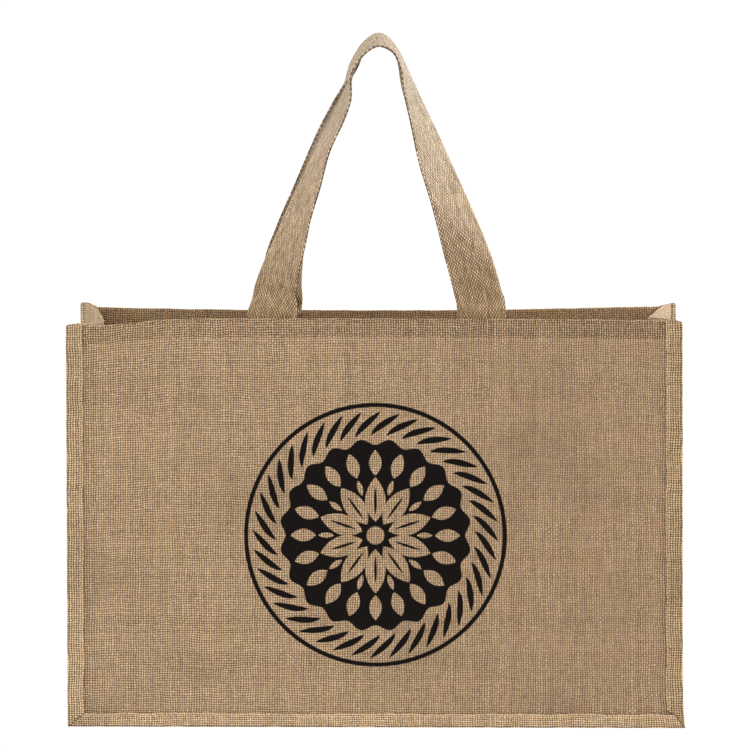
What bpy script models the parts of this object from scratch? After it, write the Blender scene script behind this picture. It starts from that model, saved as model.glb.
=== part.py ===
"""Burlap shopping bag with two webbing handles, standing open and empty.

Seven sewn pieces: two panels, one gusset strip for the sides and the bottom, two edge bindings and two handles.
Every piece is first laid out square, as its maker would draw it, and then every point goes through settle(),
which bows the rims inwards and lets the corners lean as they do on the standing bag.  One rule for all pieces
keeps the layers of a seam side by side.

Lengths are in millimetres; MM turns them into metres when a mesh is made.
X runs across the bag, Y from front to back, Z up.  The origin is on the floor under the bag's middle.
"""

import math
from collections import namedtuple

import bmesh
import bpy

MM = 0.001

# The bag, over its bindings
BAG_WIDTH = 457.0
BAG_DEPTH = 182.0
RIM_HEIGHT = 302.0

# Cloth and tape
CLOTH = 1.2
TAPE = 1.0
STRAP = 2.3
GAP = 0.3
STRAP_GAP = 0.4

# Edge bindings: how far the visible leg reaches in from the edge, and the shorter hidden leg
BINDING_SIDE = 12.6
BINDING_BOTTOM = 10.7
HIDDEN_LEG_SHORTER = 3.0
FOLD_CHAMFER = 1.1
FOLD_CUT = 0.35
INNER_FOLD_CUT = 0.1
# The raw edges of panel and gusset end this far inside the binding's fold
FOLD_SPACE = 0.5

# Hems at the mouth
HEM_DEPTH = 17.0
HEM_TURN = 1.3
HEM_STEP = 0.6
HEM_END = 212.0
SEAM_START = 214.5
RIM_ROUND = 0.8
RIM_EDGE_SHARE = 0.45
SEAM_LOWER = 2.2

# Gusset
WALL_INSET = 13.5
FLOOR_HEIGHT = 11.6
FLOOR_SAG = 4.0
CORNER_RADIUS = 5.0
BEND_RADIUS = 1.2
BEND_TO_HEM = 0.5
# The crease in the gusset's sides starts at the floor and grows; its mouth dips only near the top
CREASE_RISE = 0.7
MOUTH_RISE = 8

# Handles
STRAP_WIDTH = 38.0
# The sewn ends are drawn in a little by their stitches, and the strap widens to its full width above them
SEWN_WIDTH = 36.8
WIDENING_START = 304.0
WIDENING_REACH = 20.0
STRAP_EDGE_SHARE = 0.55
# The lines along a strap, as shares of its width from its middle; the outermost ones are its thinner edges
STRAP_LINES = (-0.5, -0.44, -0.2, 0.0, 0.2, 0.44, 0.5)
RINGS_PER_ROW = 2

# How the bag settles
FRONT_BOW = 15.0
BACK_BOW = 28.0
BOW_SPREAD = 2.5
BOW_RISE = 1.6
FRONT_LIFT = 2.3
LEFT_CORNER_DROP = 5.0
LEFT_CORNER_START = -216.0
LEFT_CORNER_REACH = 80.0
BACK_DROP = 3.3
BACK_RIGHT_LIFT = 1.3
FADE_ABOVE_RIM = 60.0
SIDE_SHIFT = -1.0
TOP_LEAN = -0.75
BASE_SPREAD = 0.75
CORNER_FLARE = 2.0
CORNER_FLARE_START = 0.8
CORNER_FLARE_HEIGHT = 12.0
SEAM_TOP = 12.0
# Soft waves across the panels: how deep each is, from crest to crest, and where it starts
RIPPLE_LONG = 0.72
RIPPLE_LONG_LENGTH = 118.0
RIPPLE_LONG_START = 0.8
RIPPLE_SHORT = 0.48
RIPPLE_SHORT_LENGTH = 73.0
RIPPLE_SHORT_START = 2.1
RIPPLE_SHORT_SLANT = 1.5
# Between this depth apart the front's moves ease into the back's; beyond it a seam's layers move as one
LEVEL_BETWEEN = 160.0

# The layers of a seam, as distances from the bag's middle plane, from the outside in
BINDING_FACE = BAG_DEPTH / 2
PANEL_FACE = BINDING_FACE - TAPE - GAP
PANEL_BACK = PANEL_FACE - CLOTH
FLANGE_FACE = PANEL_BACK - GAP
FLANGE_BACK = FLANGE_FACE - CLOTH
BINDING_BACK = FLANGE_BACK - GAP - TAPE
HEM_BACK = PANEL_BACK - HEM_TURN
STRAP_LINE = HEM_BACK - STRAP_GAP - STRAP / 2

HALF_WIDTH = BAG_WIDTH / 2
CLOTH_EDGE = HALF_WIDTH - TAPE - FOLD_SPACE
CLOTH_FOOT = TAPE + FOLD_SPACE
WALL_LINE = HALF_WIDTH - WALL_INSET
BEND_CENTRE = FLANGE_BACK - BEND_RADIUS
FLANGE = CLOTH_EDGE - WALL_LINE
HEM_FOOT = RIM_HEIGHT - HEM_DEPTH

# Heights and widths at which the cloths are divided
SIDE_LEVELS = (40.0, 80.0, 120.0, 160.0, 200.0, 240.0, 266.0)
PANEL_STEPS = 20
PANEL_STEPS_END = 206.0
SEAM_COLUMNS = (CLOTH_EDGE, 217.0, SEAM_START)
FLOOR_STEPS = 8
BINDING_STEPS = 12

# Where the ends of the bindings reach at the mouth: the outer corner, middle and inner corner of each end
BindingTop = namedtuple("BindingTop", "left_outer left_middle left_inner right_inner right_middle right_outer")
FRONT_TOP = BindingTop(302.9, 303.9, 304.7, 302.6, 302.4, 301.0)
BACK_TOP = BindingTop(305.2, 305.0, 302.6, 302.1, 303.4, 304.4)

# The gusset's sides seen from above: they bulge out beside the seams and are creased inwards halfway.
# depth: distance from the bag's middle plane; inward: how far the cloth lies inside the straight wall
# the others: how much higher than the rim the gusset's mouth ends there, towards each of the bag's seams
CreaseRow = namedtuple("CreaseRow", "depth inward front_left front_right back_left back_right")
CREASE_ROWS = (
    CreaseRow(80.0, -9.7, 1.4, 0.1, 4.1, 2.8),
    CreaseRow(68.0, -5.5, 0.2, -0.4, 3.8, 2.5),
    CreaseRow(48.0, 0.3, -0.8, -1.0, 2.1, 0.9),
    CreaseRow(26.0, 4.4, -1.6, -1.7, -0.3, -1.7),
    CreaseRow(8.0, 7.2, -2.2, -2.5, -2.1, -2.7),
    CreaseRow(0.0, 7.6, -2.6, -2.7, -2.6, -2.7),
)

# The handles' way from the left seam over the top to the right seam.
# across, out: where the middle of the strap is (out is the distance in front of the bag's middle plane)
# turn: how far the strap has turned from lying flat on its panel, in degrees
HandleRow = namedtuple("HandleRow", "across out height turn")
HANDLE_ROWS = (
    HandleRow(-77.5, STRAP_LINE, 280.0, 0.0),
    HandleRow(-77.3, STRAP_LINE, RIM_HEIGHT, 0.0),
    HandleRow(-75.8, 84.6, 307.0, 4.4),
    HandleRow(-74.6, 78.6, 313.0, 27.6),
    HandleRow(-74.4, 73.0, 320.0, 32.3),
    HandleRow(-70.1, 66.0, 340.0, 42.2),
    HandleRow(-63.2, 58.0, 361.0, 52.3),
    HandleRow(-58.0, 52.5, 378.0, 59.6),
    HandleRow(-48.1, 44.0, 404.0, 67.0),
    HandleRow(-37.2, 36.0, 433.0, 75.6),
    HandleRow(-28.1, 31.0, 452.0, 76.4),
    HandleRow(-22.3, 28.0, 466.0, 79.5),
    HandleRow(-18.3, 24.0, 484.0, 90.6),
    HandleRow(-9.5, 20.5, 500.5, 86.0),
    HandleRow(2.0, 19.7, 506.5, 86.0),
    HandleRow(13.6, 20.5, 501.0, 87.0),
    HandleRow(19.7, 24.0, 489.0, 85.4),
    HandleRow(25.2, 28.0, 471.0, 77.1),
    HandleRow(33.6, 34.0, 447.0, 67.3),
    HandleRow(43.0, 40.5, 420.0, 56.1),
    HandleRow(53.9, 48.5, 391.0, 47.8),
    HandleRow(64.7, 58.0, 361.0, 34.7),
    HandleRow(73.0, 67.0, 335.0, 25.7),
    HandleRow(76.9, 73.5, 320.0, 25.4),
    HandleRow(78.7, 78.6, 313.0, 21.7),
    HandleRow(79.3, 84.8, 307.0, 3.6),
    HandleRow(79.5, STRAP_LINE, RIM_HEIGHT, 0.0),
    HandleRow(79.5, STRAP_LINE, 280.0, 0.0),
)
# The back handle is the front one mirrored.  Left of its highest point it rises above the front one and leans
# back more; to the right it stays hidden behind it.
# left, right: how far its left and its right leg lie to the right of the front handle's, at a height
ShiftRow = namedtuple("ShiftRow", "height left right")
SHIFT_ROWS = (
    ShiftRow(RIM_HEIGHT, 0.0, 0.0),
    ShiftRow(320.0, 0.6, -1.6),
    ShiftRow(340.0, -1.2, -3.0),
    ShiftRow(365.0, -2.8, -3.4),
    ShiftRow(395.0, -3.4, -3.0),
    ShiftRow(420.0, -5.8, -2.5),
    ShiftRow(450.0, -6.3, -2.4),
    ShiftRow(470.0, -5.4, -2.7),
    ShiftRow(485.0, -2.0, -3.0),
    ShiftRow(498.0, -1.0, -1.8),
    ShiftRow(512.0, -0.6, -0.6),
)
BACK_HANDLE_LIFT = 3.0
BACK_HANDLE_TURN = 8.0
MEETING_START = 340.0
MEETING_REACH = 110.0
HIDDEN_REACH = 24.0

SMOOTH_BELOW_ANGLE = 40.0

JUTE_CLOTH = (0.42, 0.29, 0.17, 1.0)
JUTE_TAPE = (0.45, 0.30, 0.18, 1.0)
JUTE_WEBBING = (0.55, 0.41, 0.26, 1.0)


def smooth(t):
    """Eases from 0 to 1 as t goes from 0 to 1, and stays there outside."""
    t = max(0.0, min(1.0, t))
    return t * t * (3.0 - 2.0 * t)


def between(start, end, steps):
    """The evenly spaced values from start to end."""
    return [start + (end - start) * i / steps for i in range(steps + 1)]


def settle(x, y, z):
    """Moves a point of the squarely laid out bag to where it is on the standing bag."""
    rise = min(z, RIM_HEIGHT) / RIM_HEIGHT
    above_seam = max(0.0, min(z, RIM_HEIGHT) - SEAM_TOP) / (RIM_HEIGHT - SEAM_TOP)
    hold = 1.0 - smooth((z - RIM_HEIGHT) / FADE_ABOVE_RIM)
    across = x / HALF_WIDTH
    backness = smooth(0.5 + y / LEVEL_BETWEEN)
    frontness = 1.0 - backness
    middle = 1.0 - min(1.0, abs(across)) ** BOW_SPREAD

    bow = FRONT_BOW * frontness - BACK_BOW * backness
    ripple = RIPPLE_LONG * math.sin(math.tau * x / RIPPLE_LONG_LENGTH + RIPPLE_LONG_START)
    slanted = RIPPLE_SHORT_START + RIPPLE_SHORT_SLANT * rise
    ripple += RIPPLE_SHORT * math.sin(math.tau * x / RIPPLE_SHORT_LENGTH + slanted)
    ripple *= math.sin(math.pi * above_seam) * (backness - frontness)
    y_settled = y + hold * middle * (bow * above_seam**BOW_RISE + ripple)

    left_end = 1.0 - smooth((x - LEFT_CORNER_START) / LEFT_CORNER_REACH)
    front_lift = FRONT_LIFT - LEFT_CORNER_DROP * left_end
    back_lift = BACK_RIGHT_LIFT * smooth(across) - BACK_DROP
    z_settled = z + hold * rise**2 * (front_lift * frontness + back_lift * backness)

    near_corner = smooth((across - CORNER_FLARE_START) / (1.0 - CORNER_FLARE_START))
    flare = CORNER_FLARE * near_corner * math.exp(-z / CORNER_FLARE_HEIGHT)
    spread = BASE_SPREAD * across * (1.0 - rise)
    x_settled = x + SIDE_SHIFT + TOP_LEAN * rise * hold + spread + flare
    return x_settled, y_settled, z_settled


def cloth_body(name, outside, inside, finish):
    """Makes one closed body from the two faces of a cloth, each a grid of points in rows of equal length."""
    rows = len(outside)
    columns = len(outside[0])
    mesh = bpy.data.meshes.new(name)
    body = bmesh.new()
    faces_of_cloth = []
    for grid in (outside, inside):
        made = [[body.verts.new([c * MM for c in settle(*point)]) for point in row] for row in grid]
        faces_of_cloth.append(made)
    top, under = faces_of_cloth
    for i in range(rows - 1):
        for j in range(columns - 1):
            body.faces.new((top[i][j], top[i][j + 1], top[i + 1][j + 1], top[i + 1][j]))
            body.faces.new((under[i][j], under[i + 1][j], under[i + 1][j + 1], under[i][j + 1]))
    border = [(i, 0) for i in range(rows)]
    border += [(rows - 1, j) for j in range(1, columns)]
    border += [(i, columns - 1) for i in range(rows - 2, -1, -1)]
    border += [(0, j) for j in range(columns - 2, 0, -1)]
    for (i, j), (k, m) in zip(border, border[1:] + border[:1]):
        body.faces.new((top[i][j], top[k][m], under[k][m], under[i][j]))
    bmesh.ops.recalc_face_normals(body, faces=body.faces)
    body.to_mesh(mesh)
    body.free()
    mesh.materials.append(finish)
    mesh.shade_smooth()
    mesh.set_sharp_from_angle(angle=math.radians(SMOOTH_BELOW_ANGLE))
    made_object = bpy.data.objects.new(name, mesh)
    bpy.context.scene.collection.objects.link(made_object)
    return made_object


def finish_of(name, colour, roughness):
    """A dull woven finish."""
    material = bpy.data.materials.new(name)
    material.use_nodes = True
    shader = material.node_tree.nodes["Principled BSDF"]
    shader.inputs["Base Color"].default_value = colour
    shader.inputs["Roughness"].default_value = roughness
    shader.inputs["Metallic"].default_value = 0.0
    return material


def panel(name, side, finish):
    """A panel: burlap with its top edge turned in.  side is -1 at the front and 1 at the back."""
    outer = [*SEAM_COLUMNS, HEM_END, HEM_END - HEM_STEP]
    middle = between(-PANEL_STEPS_END, PANEL_STEPS_END, PANEL_STEPS)
    columns = [-x for x in outer] + middle + outer[::-1]
    levels = [CLOTH_FOOT, SEAM_TOP, *SIDE_LEVELS, HEM_FOOT - HEM_STEP, HEM_FOOT]
    levels += [RIM_HEIGHT - HEM_DEPTH / 2, RIM_HEIGHT - RIM_ROUND, RIM_HEIGHT]
    outside = []
    inside = []
    for level in levels:
        outside_row = []
        inside_row = []
        for x in columns:
            top = RIM_HEIGHT - SEAM_LOWER if abs(x) > SEAM_START else RIM_HEIGHT
            z = CLOTH_FOOT + (level - CLOTH_FOOT) * (top - CLOTH_FOOT) / (RIM_HEIGHT - CLOTH_FOOT)
            hemmed = level >= HEM_FOOT and abs(x) < HEM_END
            thickness = CLOTH + (HEM_TURN if hemmed else 0.0)
            pinch = thickness * (1.0 - RIM_EDGE_SHARE) / 2 if level == RIM_HEIGHT else 0.0
            outside_row.append((x, side * (PANEL_FACE - pinch), z))
            inside_row.append((x, side * (PANEL_FACE - thickness + pinch), z))
        outside.append(outside_row)
        inside.append(inside_row)
    return cloth_body(name, outside, inside, finish)


# Of a gusset section's entries, the first ones are the flange and its bend; the hem starts further on
FLANGE_ENTRIES = 4
FIRST_HEMMED_ENTRY = 6

# A ring of the gusset: a point of the wall's outer line, the seam flange's edge beside it, and the way in
GussetRing = namedtuple("GussetRing", "x z edge_x edge_z in_x in_z level")


def gusset_rings():
    """The gusset's rings from the left mouth round the bottom to the right mouth."""
    mouth = [RIM_HEIGHT, RIM_HEIGHT - RIM_ROUND, RIM_HEIGHT - HEM_DEPTH / 2, HEM_FOOT, HEM_FOOT - HEM_STEP]
    levels = mouth + list(SIDE_LEVELS[::-1]) + [FLOOR_HEIGHT + CORNER_RADIUS]
    left = [GussetRing(-WALL_LINE, z, -CLOTH_EDGE, z, 1.0, 0.0, z) for z in levels]
    diagonal = math.sqrt(0.5)
    cut = CORNER_RADIUS * (1.0 - diagonal)
    corner_x = -WALL_LINE + cut
    corner_z = FLOOR_HEIGHT + cut
    corner = GussetRing(corner_x, corner_z, -CLOTH_EDGE, CLOTH_FOOT, diagonal, diagonal, 0.0)
    floor_end = WALL_LINE - CORNER_RADIUS
    floor = [
        GussetRing(x, FLOOR_HEIGHT, x, CLOTH_FOOT, 0.0, 1.0, 0.0)
        for x in between(-floor_end, floor_end, FLOOR_STEPS)
    ]
    first_half = left + [corner]
    second_half = [r._replace(x=-r.x, edge_x=-r.edge_x, in_x=-r.in_x) for r in reversed(first_half)]
    return first_half + floor + second_half


def gusset_section():
    """Half of the gusset's section, from the flange's edge to the crease, laid flat along the wall.

    Each entry holds the outer and the inner face as (outward, depth): outward from the wall's outer line,
    depth from the bag's middle plane.  FLANGE_ENTRIES of them are the flange's and the bend's."""
    diagonal = math.sqrt(0.5)
    outer_cut = BEND_RADIUS * (1.0 - diagonal)
    inner_cut = BEND_RADIUS - (BEND_RADIUS + CLOTH) * diagonal
    hem_start = BEND_CENTRE - BEND_TO_HEM
    section = [
        ((FLANGE, FLANGE_BACK), (FLANGE, FLANGE_FACE)),
        ((FLANGE / 2, FLANGE_BACK), (FLANGE / 2, FLANGE_FACE)),
        ((BEND_RADIUS, FLANGE_BACK), (BEND_RADIUS, FLANGE_FACE)),
        ((outer_cut, FLANGE_BACK - outer_cut), (inner_cut, FLANGE_BACK - inner_cut)),
        ((0.0, BEND_CENTRE), (-CLOTH, BEND_CENTRE)),
        ((0.0, hem_start), (-CLOTH, hem_start)),
    ]
    section.append(((0.0, hem_start - HEM_STEP), (-CLOTH, hem_start - HEM_STEP)))
    section += [((0.0, row.depth), (-CLOTH, row.depth)) for row in CREASE_ROWS]
    return section


def crease_at(depth):
    """The values of the crease rows at a depth."""
    rows = (CreaseRow(BEND_CENTRE, 0.0, 0.0, 0.0, 0.0, 0.0),) + CREASE_ROWS
    for start, end in zip(rows, rows[1:]):
        if depth >= end.depth:
            share = (start.depth - depth) / (start.depth - end.depth)
            return CreaseRow(*(a + (b - a) * share for a, b in zip(start, end)))
    return rows[-1]


def gusset_point(ring, outward, depth, top_drop):
    """Places a point of the gusset's section on a ring."""
    if outward > 0.0:
        share = outward / FLANGE
        x = ring.x + (ring.edge_x - ring.x) * share
        z = ring.z + (ring.edge_z - ring.z) * share
    else:
        x = ring.x - ring.in_x * outward
        z = ring.z - ring.in_z * outward
    return x, depth, z - top_drop


def flange_drop(ring):
    """How far a seam flange lies below the ring: it ends a little lower than the rim."""
    return SEAM_LOWER * (ring.level / RIM_HEIGHT) ** MOUTH_RISE


def crease_and_drop(ring, side, depth):
    """How far inwards and downwards the gusset's wall lies at a depth, or its floor."""
    span = 1.0 - depth / BEND_CENTRE
    if ring.level == 0.0:
        return 0.0, FLOOR_SAG * span * (1.0 - (ring.x / WALL_LINE) ** 2)
    rise = ring.level / RIM_HEIGHT
    row = crease_at(depth)
    if side == -1:
        mouth_rise = row.front_left if ring.x < 0.0 else row.front_right
    else:
        mouth_rise = row.back_left if ring.x < 0.0 else row.back_right
    return row.inward * rise**CREASE_RISE, -mouth_rise * rise**MOUTH_RISE


def gusset(name, finish):
    """The gusset strip: seam flanges turned outwards, sides creased inwards, ends hemmed at the mouth."""
    half = list(enumerate(gusset_section()))
    outside = []
    inside = []
    for ring in gusset_rings():
        outside_row = []
        inside_row = []
        for side in (-1, 1):
            order = half if side == -1 else half[-2::-1]
            for i, ((out_a, out_depth), (in_a, in_depth)) in order:
                on_wall = i >= FLANGE_ENTRIES
                crease, drop = crease_and_drop(ring, side, out_depth) if on_wall else (0.0, flange_drop(ring))
                hemmed = ring.level >= HEM_FOOT and i >= FIRST_HEMMED_ENTRY
                turn = HEM_TURN if hemmed else 0.0
                at_mouth = on_wall and ring.level == RIM_HEIGHT
                pinch = (CLOTH + turn) * (1.0 - RIM_EDGE_SHARE) / 2 if at_mouth else 0.0
                outside_row.append(gusset_point(ring, out_a - crease - pinch, side * out_depth, drop))
                inside_row.append(gusset_point(ring, in_a - crease - turn + pinch, side * in_depth, drop))
        outside.append(outside_row)
        inside.append(inside_row)
    return cloth_body(name, outside, inside, finish)


# A fold line of the binding: how far in from the edge it lies along the sides and the bottom, and its depth
BindingLine = namedtuple("BindingLine", "side bottom depth")


def binding_section():
    """The binding's outer and inner face, from the visible leg's edge round the fold to the hidden leg."""
    hidden_side = BINDING_SIDE - HIDDEN_LEG_SHORTER
    hidden_bottom = BINDING_BOTTOM - HIDDEN_LEG_SHORTER
    c, d, n = FOLD_CHAMFER, FOLD_CUT, INNER_FOLD_CUT
    front, back = BINDING_FACE, BINDING_BACK
    outer = [
        BindingLine(BINDING_SIDE, BINDING_BOTTOM, front),
        BindingLine(BINDING_SIDE / 2, BINDING_BOTTOM / 2, front),
        BindingLine(c, c, front),
        BindingLine(d, d, front - d),
        BindingLine(0.0, 0.0, front - c),
        BindingLine(0.0, 0.0, back + c),
        BindingLine(d, d, back + d),
        BindingLine(c, c, back),
        BindingLine(hidden_side, hidden_bottom, back),
    ]
    front, back = front - TAPE, back + TAPE
    inner = [
        BindingLine(BINDING_SIDE, BINDING_BOTTOM, front),
        BindingLine(BINDING_SIDE / 2, BINDING_BOTTOM / 2, front),
        BindingLine(TAPE + d, TAPE + d, front),
        BindingLine(TAPE + n, TAPE + n, front - n),
        BindingLine(TAPE, TAPE, front - d),
        BindingLine(TAPE, TAPE, back + d),
        BindingLine(TAPE + n, TAPE + n, back + n),
        BindingLine(TAPE + d, TAPE + d, back),
        BindingLine(hidden_side, hidden_bottom, back),
    ]
    return outer, inner


def binding_end(outer, middle, inner, inward):
    """The height of a binding's end at a share of the way from its outer to its inner corner."""
    if inward < 0.5:
        return outer + (middle - outer) * inward * 2.0
    return middle + (inner - middle) * (inward * 2.0 - 1.0)


def binding_path(line, side, tops):
    """One fold line of a binding, swept down the left side, along the bottom and up the right side."""
    left = -HALF_WIDTH + line.side
    inward = line.side / BINDING_SIDE
    left_top = binding_end(tops.left_outer, tops.left_middle, tops.left_inner, inward)
    right_top = binding_end(tops.right_outer, tops.right_middle, tops.right_inner, inward)
    depth = side * line.depth
    levels = SIDE_LEVELS + (RIM_HEIGHT - HEM_DEPTH / 2,)
    left_side = [(left, depth, left_top)] + [(left, depth, z) for z in reversed(levels)]
    corner = (left, depth, line.bottom)
    reach = HALF_WIDTH - 2 * BINDING_SIDE
    bottom = [(x, depth, line.bottom) for x in between(-reach, reach, BINDING_STEPS)]
    right_side = [(-left, depth, z) for z in levels] + [(-left, depth, right_top)]
    return left_side + [corner] + bottom + [(-left, depth, line.bottom)] + right_side


def binding(name, side, tops, finish):
    """A binding: tape folded round the raw edges of a panel and the gusset, mitred at the bottom corners."""
    outer, inner = binding_section()
    outside = [binding_path(line, side, tops) for line in outer]
    inside = [binding_path(line, side, tops) for line in inner]
    return cloth_body(name, outside, inside, finish)


def slope_at(before, here, after):
    """The slope of a curve that never overshoots its rows: level at each peak, gentle at each bend."""
    step_in = here - before
    step_out = after - here
    if step_in * step_out <= 0.0:
        return 0.0
    return 2.0 * step_in * step_out / (step_in + step_out)


def curve_through(rows):
    """More rows on a smooth curve through the given ones, RINGS_PER_ROW for each step."""
    fine = []
    for i in range(len(rows) - 1):
        before = rows[max(i - 1, 0)]
        start = rows[i]
        end = rows[i + 1]
        after = rows[min(i + 2, len(rows) - 1)]
        for k in range(RINGS_PER_ROW):
            t = k / RINGS_PER_ROW
            values = []
            for p, q, r, s in zip(before, start, end, after):
                leaving = slope_at(p, q, r) * t * (1.0 - t) ** 2
                arriving = slope_at(q, r, s) * t**2 * (1.0 - t)
                values.append(q + (r - q) * smooth(t) + leaving - arriving)
            fine.append(HandleRow(*values))
    fine.append(rows[-1])
    return fine


def back_handle_row(row):
    """A row of the back handle, worked out from the front handle's."""
    shown = 1.0 - smooth(row.across / HIDDEN_REACH)
    meeting = shown * smooth((row.height - MEETING_START) / MEETING_REACH)
    shift = 0.0
    for low, high in zip(SHIFT_ROWS, SHIFT_ROWS[1:]):
        if low.height <= row.height <= high.height:
            share = (row.height - low.height) / (high.height - low.height)
            left = low.left + (high.left - low.left) * share
            right = low.right + (high.right - low.right) * share
            shift = left if row.across < 0.0 else right
    return HandleRow(
        row.across + shift,
        row.out,
        row.height + BACK_HANDLE_LIFT * meeting,
        row.turn + BACK_HANDLE_TURN * meeting,
    )


def handle(name, side, rows, finish):
    """A strap: a flat woven band swept along its rows, its two ends sewn flat inside the hem."""
    rings = curve_through(rows)
    outside = []
    inside = []
    for i, ring in enumerate(rings):
        before = rings[max(i - 1, 0)]
        after = rings[min(i + 1, len(rings) - 1)]
        along_x = after.across - before.across
        along_z = after.height - before.height
        length = math.hypot(along_x, along_z)
        along_x, along_z = along_x / length, along_z / length
        turn = math.radians(ring.turn)
        # across the strap, from its outer edge to its inner edge, and out of its face
        wide = (math.cos(turn) * along_z, math.sin(turn), -math.cos(turn) * along_x)
        face = (-math.sin(turn) * along_z, math.cos(turn), math.sin(turn) * along_x)
        width = SEWN_WIDTH + (STRAP_WIDTH - SEWN_WIDTH) * smooth((ring.height - WIDENING_START) / WIDENING_REACH)
        outside_row = []
        inside_row = []
        for share in STRAP_LINES:
            at_edge = abs(share) == max(STRAP_LINES)
            half = STRAP / 2 * (STRAP_EDGE_SHARE if at_edge else 1.0)
            reach = share * width
            x = ring.across + wide[0] * reach
            out = ring.out + wide[1] * reach
            z = ring.height + wide[2] * reach
            outside_row.append((x + face[0] * half, side * (out + face[1] * half), z + face[2] * half))
            inside_row.append((x - face[0] * half, side * (out - face[1] * half), z - face[2] * half))
        outside.append(outside_row)
        inside.append(inside_row)
    return cloth_body(name, outside, inside, finish)


def main():
    for old in list(bpy.data.objects):
        bpy.data.objects.remove(old, do_unlink=True)
    burlap = finish_of("burlap", JUTE_CLOTH, 0.95)
    tape = finish_of("burlap_tape", JUTE_TAPE, 0.95)
    webbing = finish_of("jute_webbing", JUTE_WEBBING, 0.9)
    pieces = [
        panel("front_panel", -1, burlap),
        panel("back_panel", 1, burlap),
        gusset("gusset", burlap),
        binding("front_binding", -1, FRONT_TOP, tape),
        binding("back_binding", 1, BACK_TOP, tape),
        handle("front_handle", -1, HANDLE_ROWS, webbing),
        handle("back_handle", 1, [back_handle_row(row) for row in HANDLE_ROWS], webbing),
    ]
    bag = bpy.data.objects.new("bag", None)
    bpy.context.scene.collection.objects.link(bag)
    for piece in pieces:
        piece.parent = bag


main()
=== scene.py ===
# %% [markdown]
# # A burlap shopping bag, sewn from seven pieces
# The bag is two panels and one long gusset strip.  They are joined by seams that face outwards
# and are wrapped in a folded binding, and two webbing handles are sewn inside the mouth.  This
# scene cuts every cloth again, much finer than the collision model.  It folds and stitches each
# one in the same way and gives it its weave.
#
# Lengths are in millimetres until a mesh is made.  X runs across the bag, Y from front to back
# and Z up.

# %% load the frame
import math
from collections import namedtuple

import bpy
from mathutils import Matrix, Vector, noise


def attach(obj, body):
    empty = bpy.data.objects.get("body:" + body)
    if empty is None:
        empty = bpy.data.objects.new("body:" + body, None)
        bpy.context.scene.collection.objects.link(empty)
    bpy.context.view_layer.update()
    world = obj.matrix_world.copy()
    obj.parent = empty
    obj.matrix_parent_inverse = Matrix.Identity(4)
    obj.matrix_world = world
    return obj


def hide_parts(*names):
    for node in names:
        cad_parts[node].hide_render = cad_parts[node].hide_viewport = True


MM = 0.001
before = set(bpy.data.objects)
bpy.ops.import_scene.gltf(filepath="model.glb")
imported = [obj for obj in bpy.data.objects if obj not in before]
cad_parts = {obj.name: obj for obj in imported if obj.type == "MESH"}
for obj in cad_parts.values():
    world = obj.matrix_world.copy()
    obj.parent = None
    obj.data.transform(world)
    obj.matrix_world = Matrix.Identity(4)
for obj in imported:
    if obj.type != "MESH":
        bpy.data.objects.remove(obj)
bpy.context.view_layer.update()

# %% [markdown]
# ## The cut and the layers
# These are the sizes as the bag's maker would write them down.  The cloth is 1.2 mm thick and
# the hems are turned in 17 mm.  The binding covers 12.6 mm of each side seam and 10.7 mm of the
# bottom one.  Sewn layers lie a hair apart, so that no two faces share a place.  From these few
# numbers follows where each layer lies, counted from the middle of the bag outwards.

# %% sizes
BAG_WIDTH, BAG_DEPTH, RIM_HEIGHT = 457.0, 182.0, 302.0
CLOTH, TAPE, STRAP = 1.2, 1.0, 2.3
GAP, STRAP_GAP = 0.3, 0.4
HEM_DEPTH, HEM_TURN = 17.0, 1.3
BINDING_SIDE, BINDING_BOTTOM, FOLD_SPACE = 12.6, 10.7, 0.5
WALL_INSET, BEND_RADIUS = 13.5, 1.2

HALF_WIDTH = BAG_WIDTH / 2
BINDING_FACE = BAG_DEPTH / 2
PANEL_FACE = BINDING_FACE - TAPE - GAP
PANEL_BACK = PANEL_FACE - CLOTH
FLANGE_FACE = PANEL_BACK - GAP
FLANGE_BACK = FLANGE_FACE - CLOTH
BINDING_BACK = FLANGE_BACK - GAP - TAPE
HEM_BACK = PANEL_BACK - HEM_TURN
STRAP_LINE = HEM_BACK - STRAP_GAP - STRAP / 2
CLOTH_EDGE = HALF_WIDTH - TAPE - FOLD_SPACE
CLOTH_FOOT = TAPE + FOLD_SPACE
WALL_LINE = HALF_WIDTH - WALL_INSET
BEND_CENTRE = FLANGE_BACK - BEND_RADIUS
FLANGE = CLOTH_EDGE - WALL_LINE
HEM_FOOT = RIM_HEIGHT - HEM_DEPTH
print("panel face", round(PANEL_FACE, 1), "and side wall", WALL_LINE, "mm from the middle")

# %% [markdown]
# ## Three small helpers
# Most shapes here are tables of numbers with soft steps between them, so three one-line
# functions come back all the time.

# %% helpers


def smooth(t):
    """Eases from 0 to 1 as t goes from 0 to 1, and stays there outside."""
    t = max(0.0, min(1.0, t))
    return t * t * (3.0 - 2.0 * t)


def between(start, end, steps):
    """The evenly spaced values from start to end."""
    return [start + (end - start) * i / steps for i in range(steps + 1)]


def mixed(start, end, share):
    """The value that lies a share of the way from start to end."""
    return start + (end - start) * share


print("a soft step at a quarter of its way:", smooth(0.25))

# %% [markdown]
# ## How the bag settles
# A new bag stands by itself, but its cloth isn't flat.  The rims bow inwards between the seams,
# the left front corner hangs a little, and soft waves cross the panels.  One function moves
# every point of every piece, so the layers of a seam stay side by side.  On top of that the
# cloth is rumpled by about half a millimetre.  The noise depends on the place alone, so
# every run gives the same bag.

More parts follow.
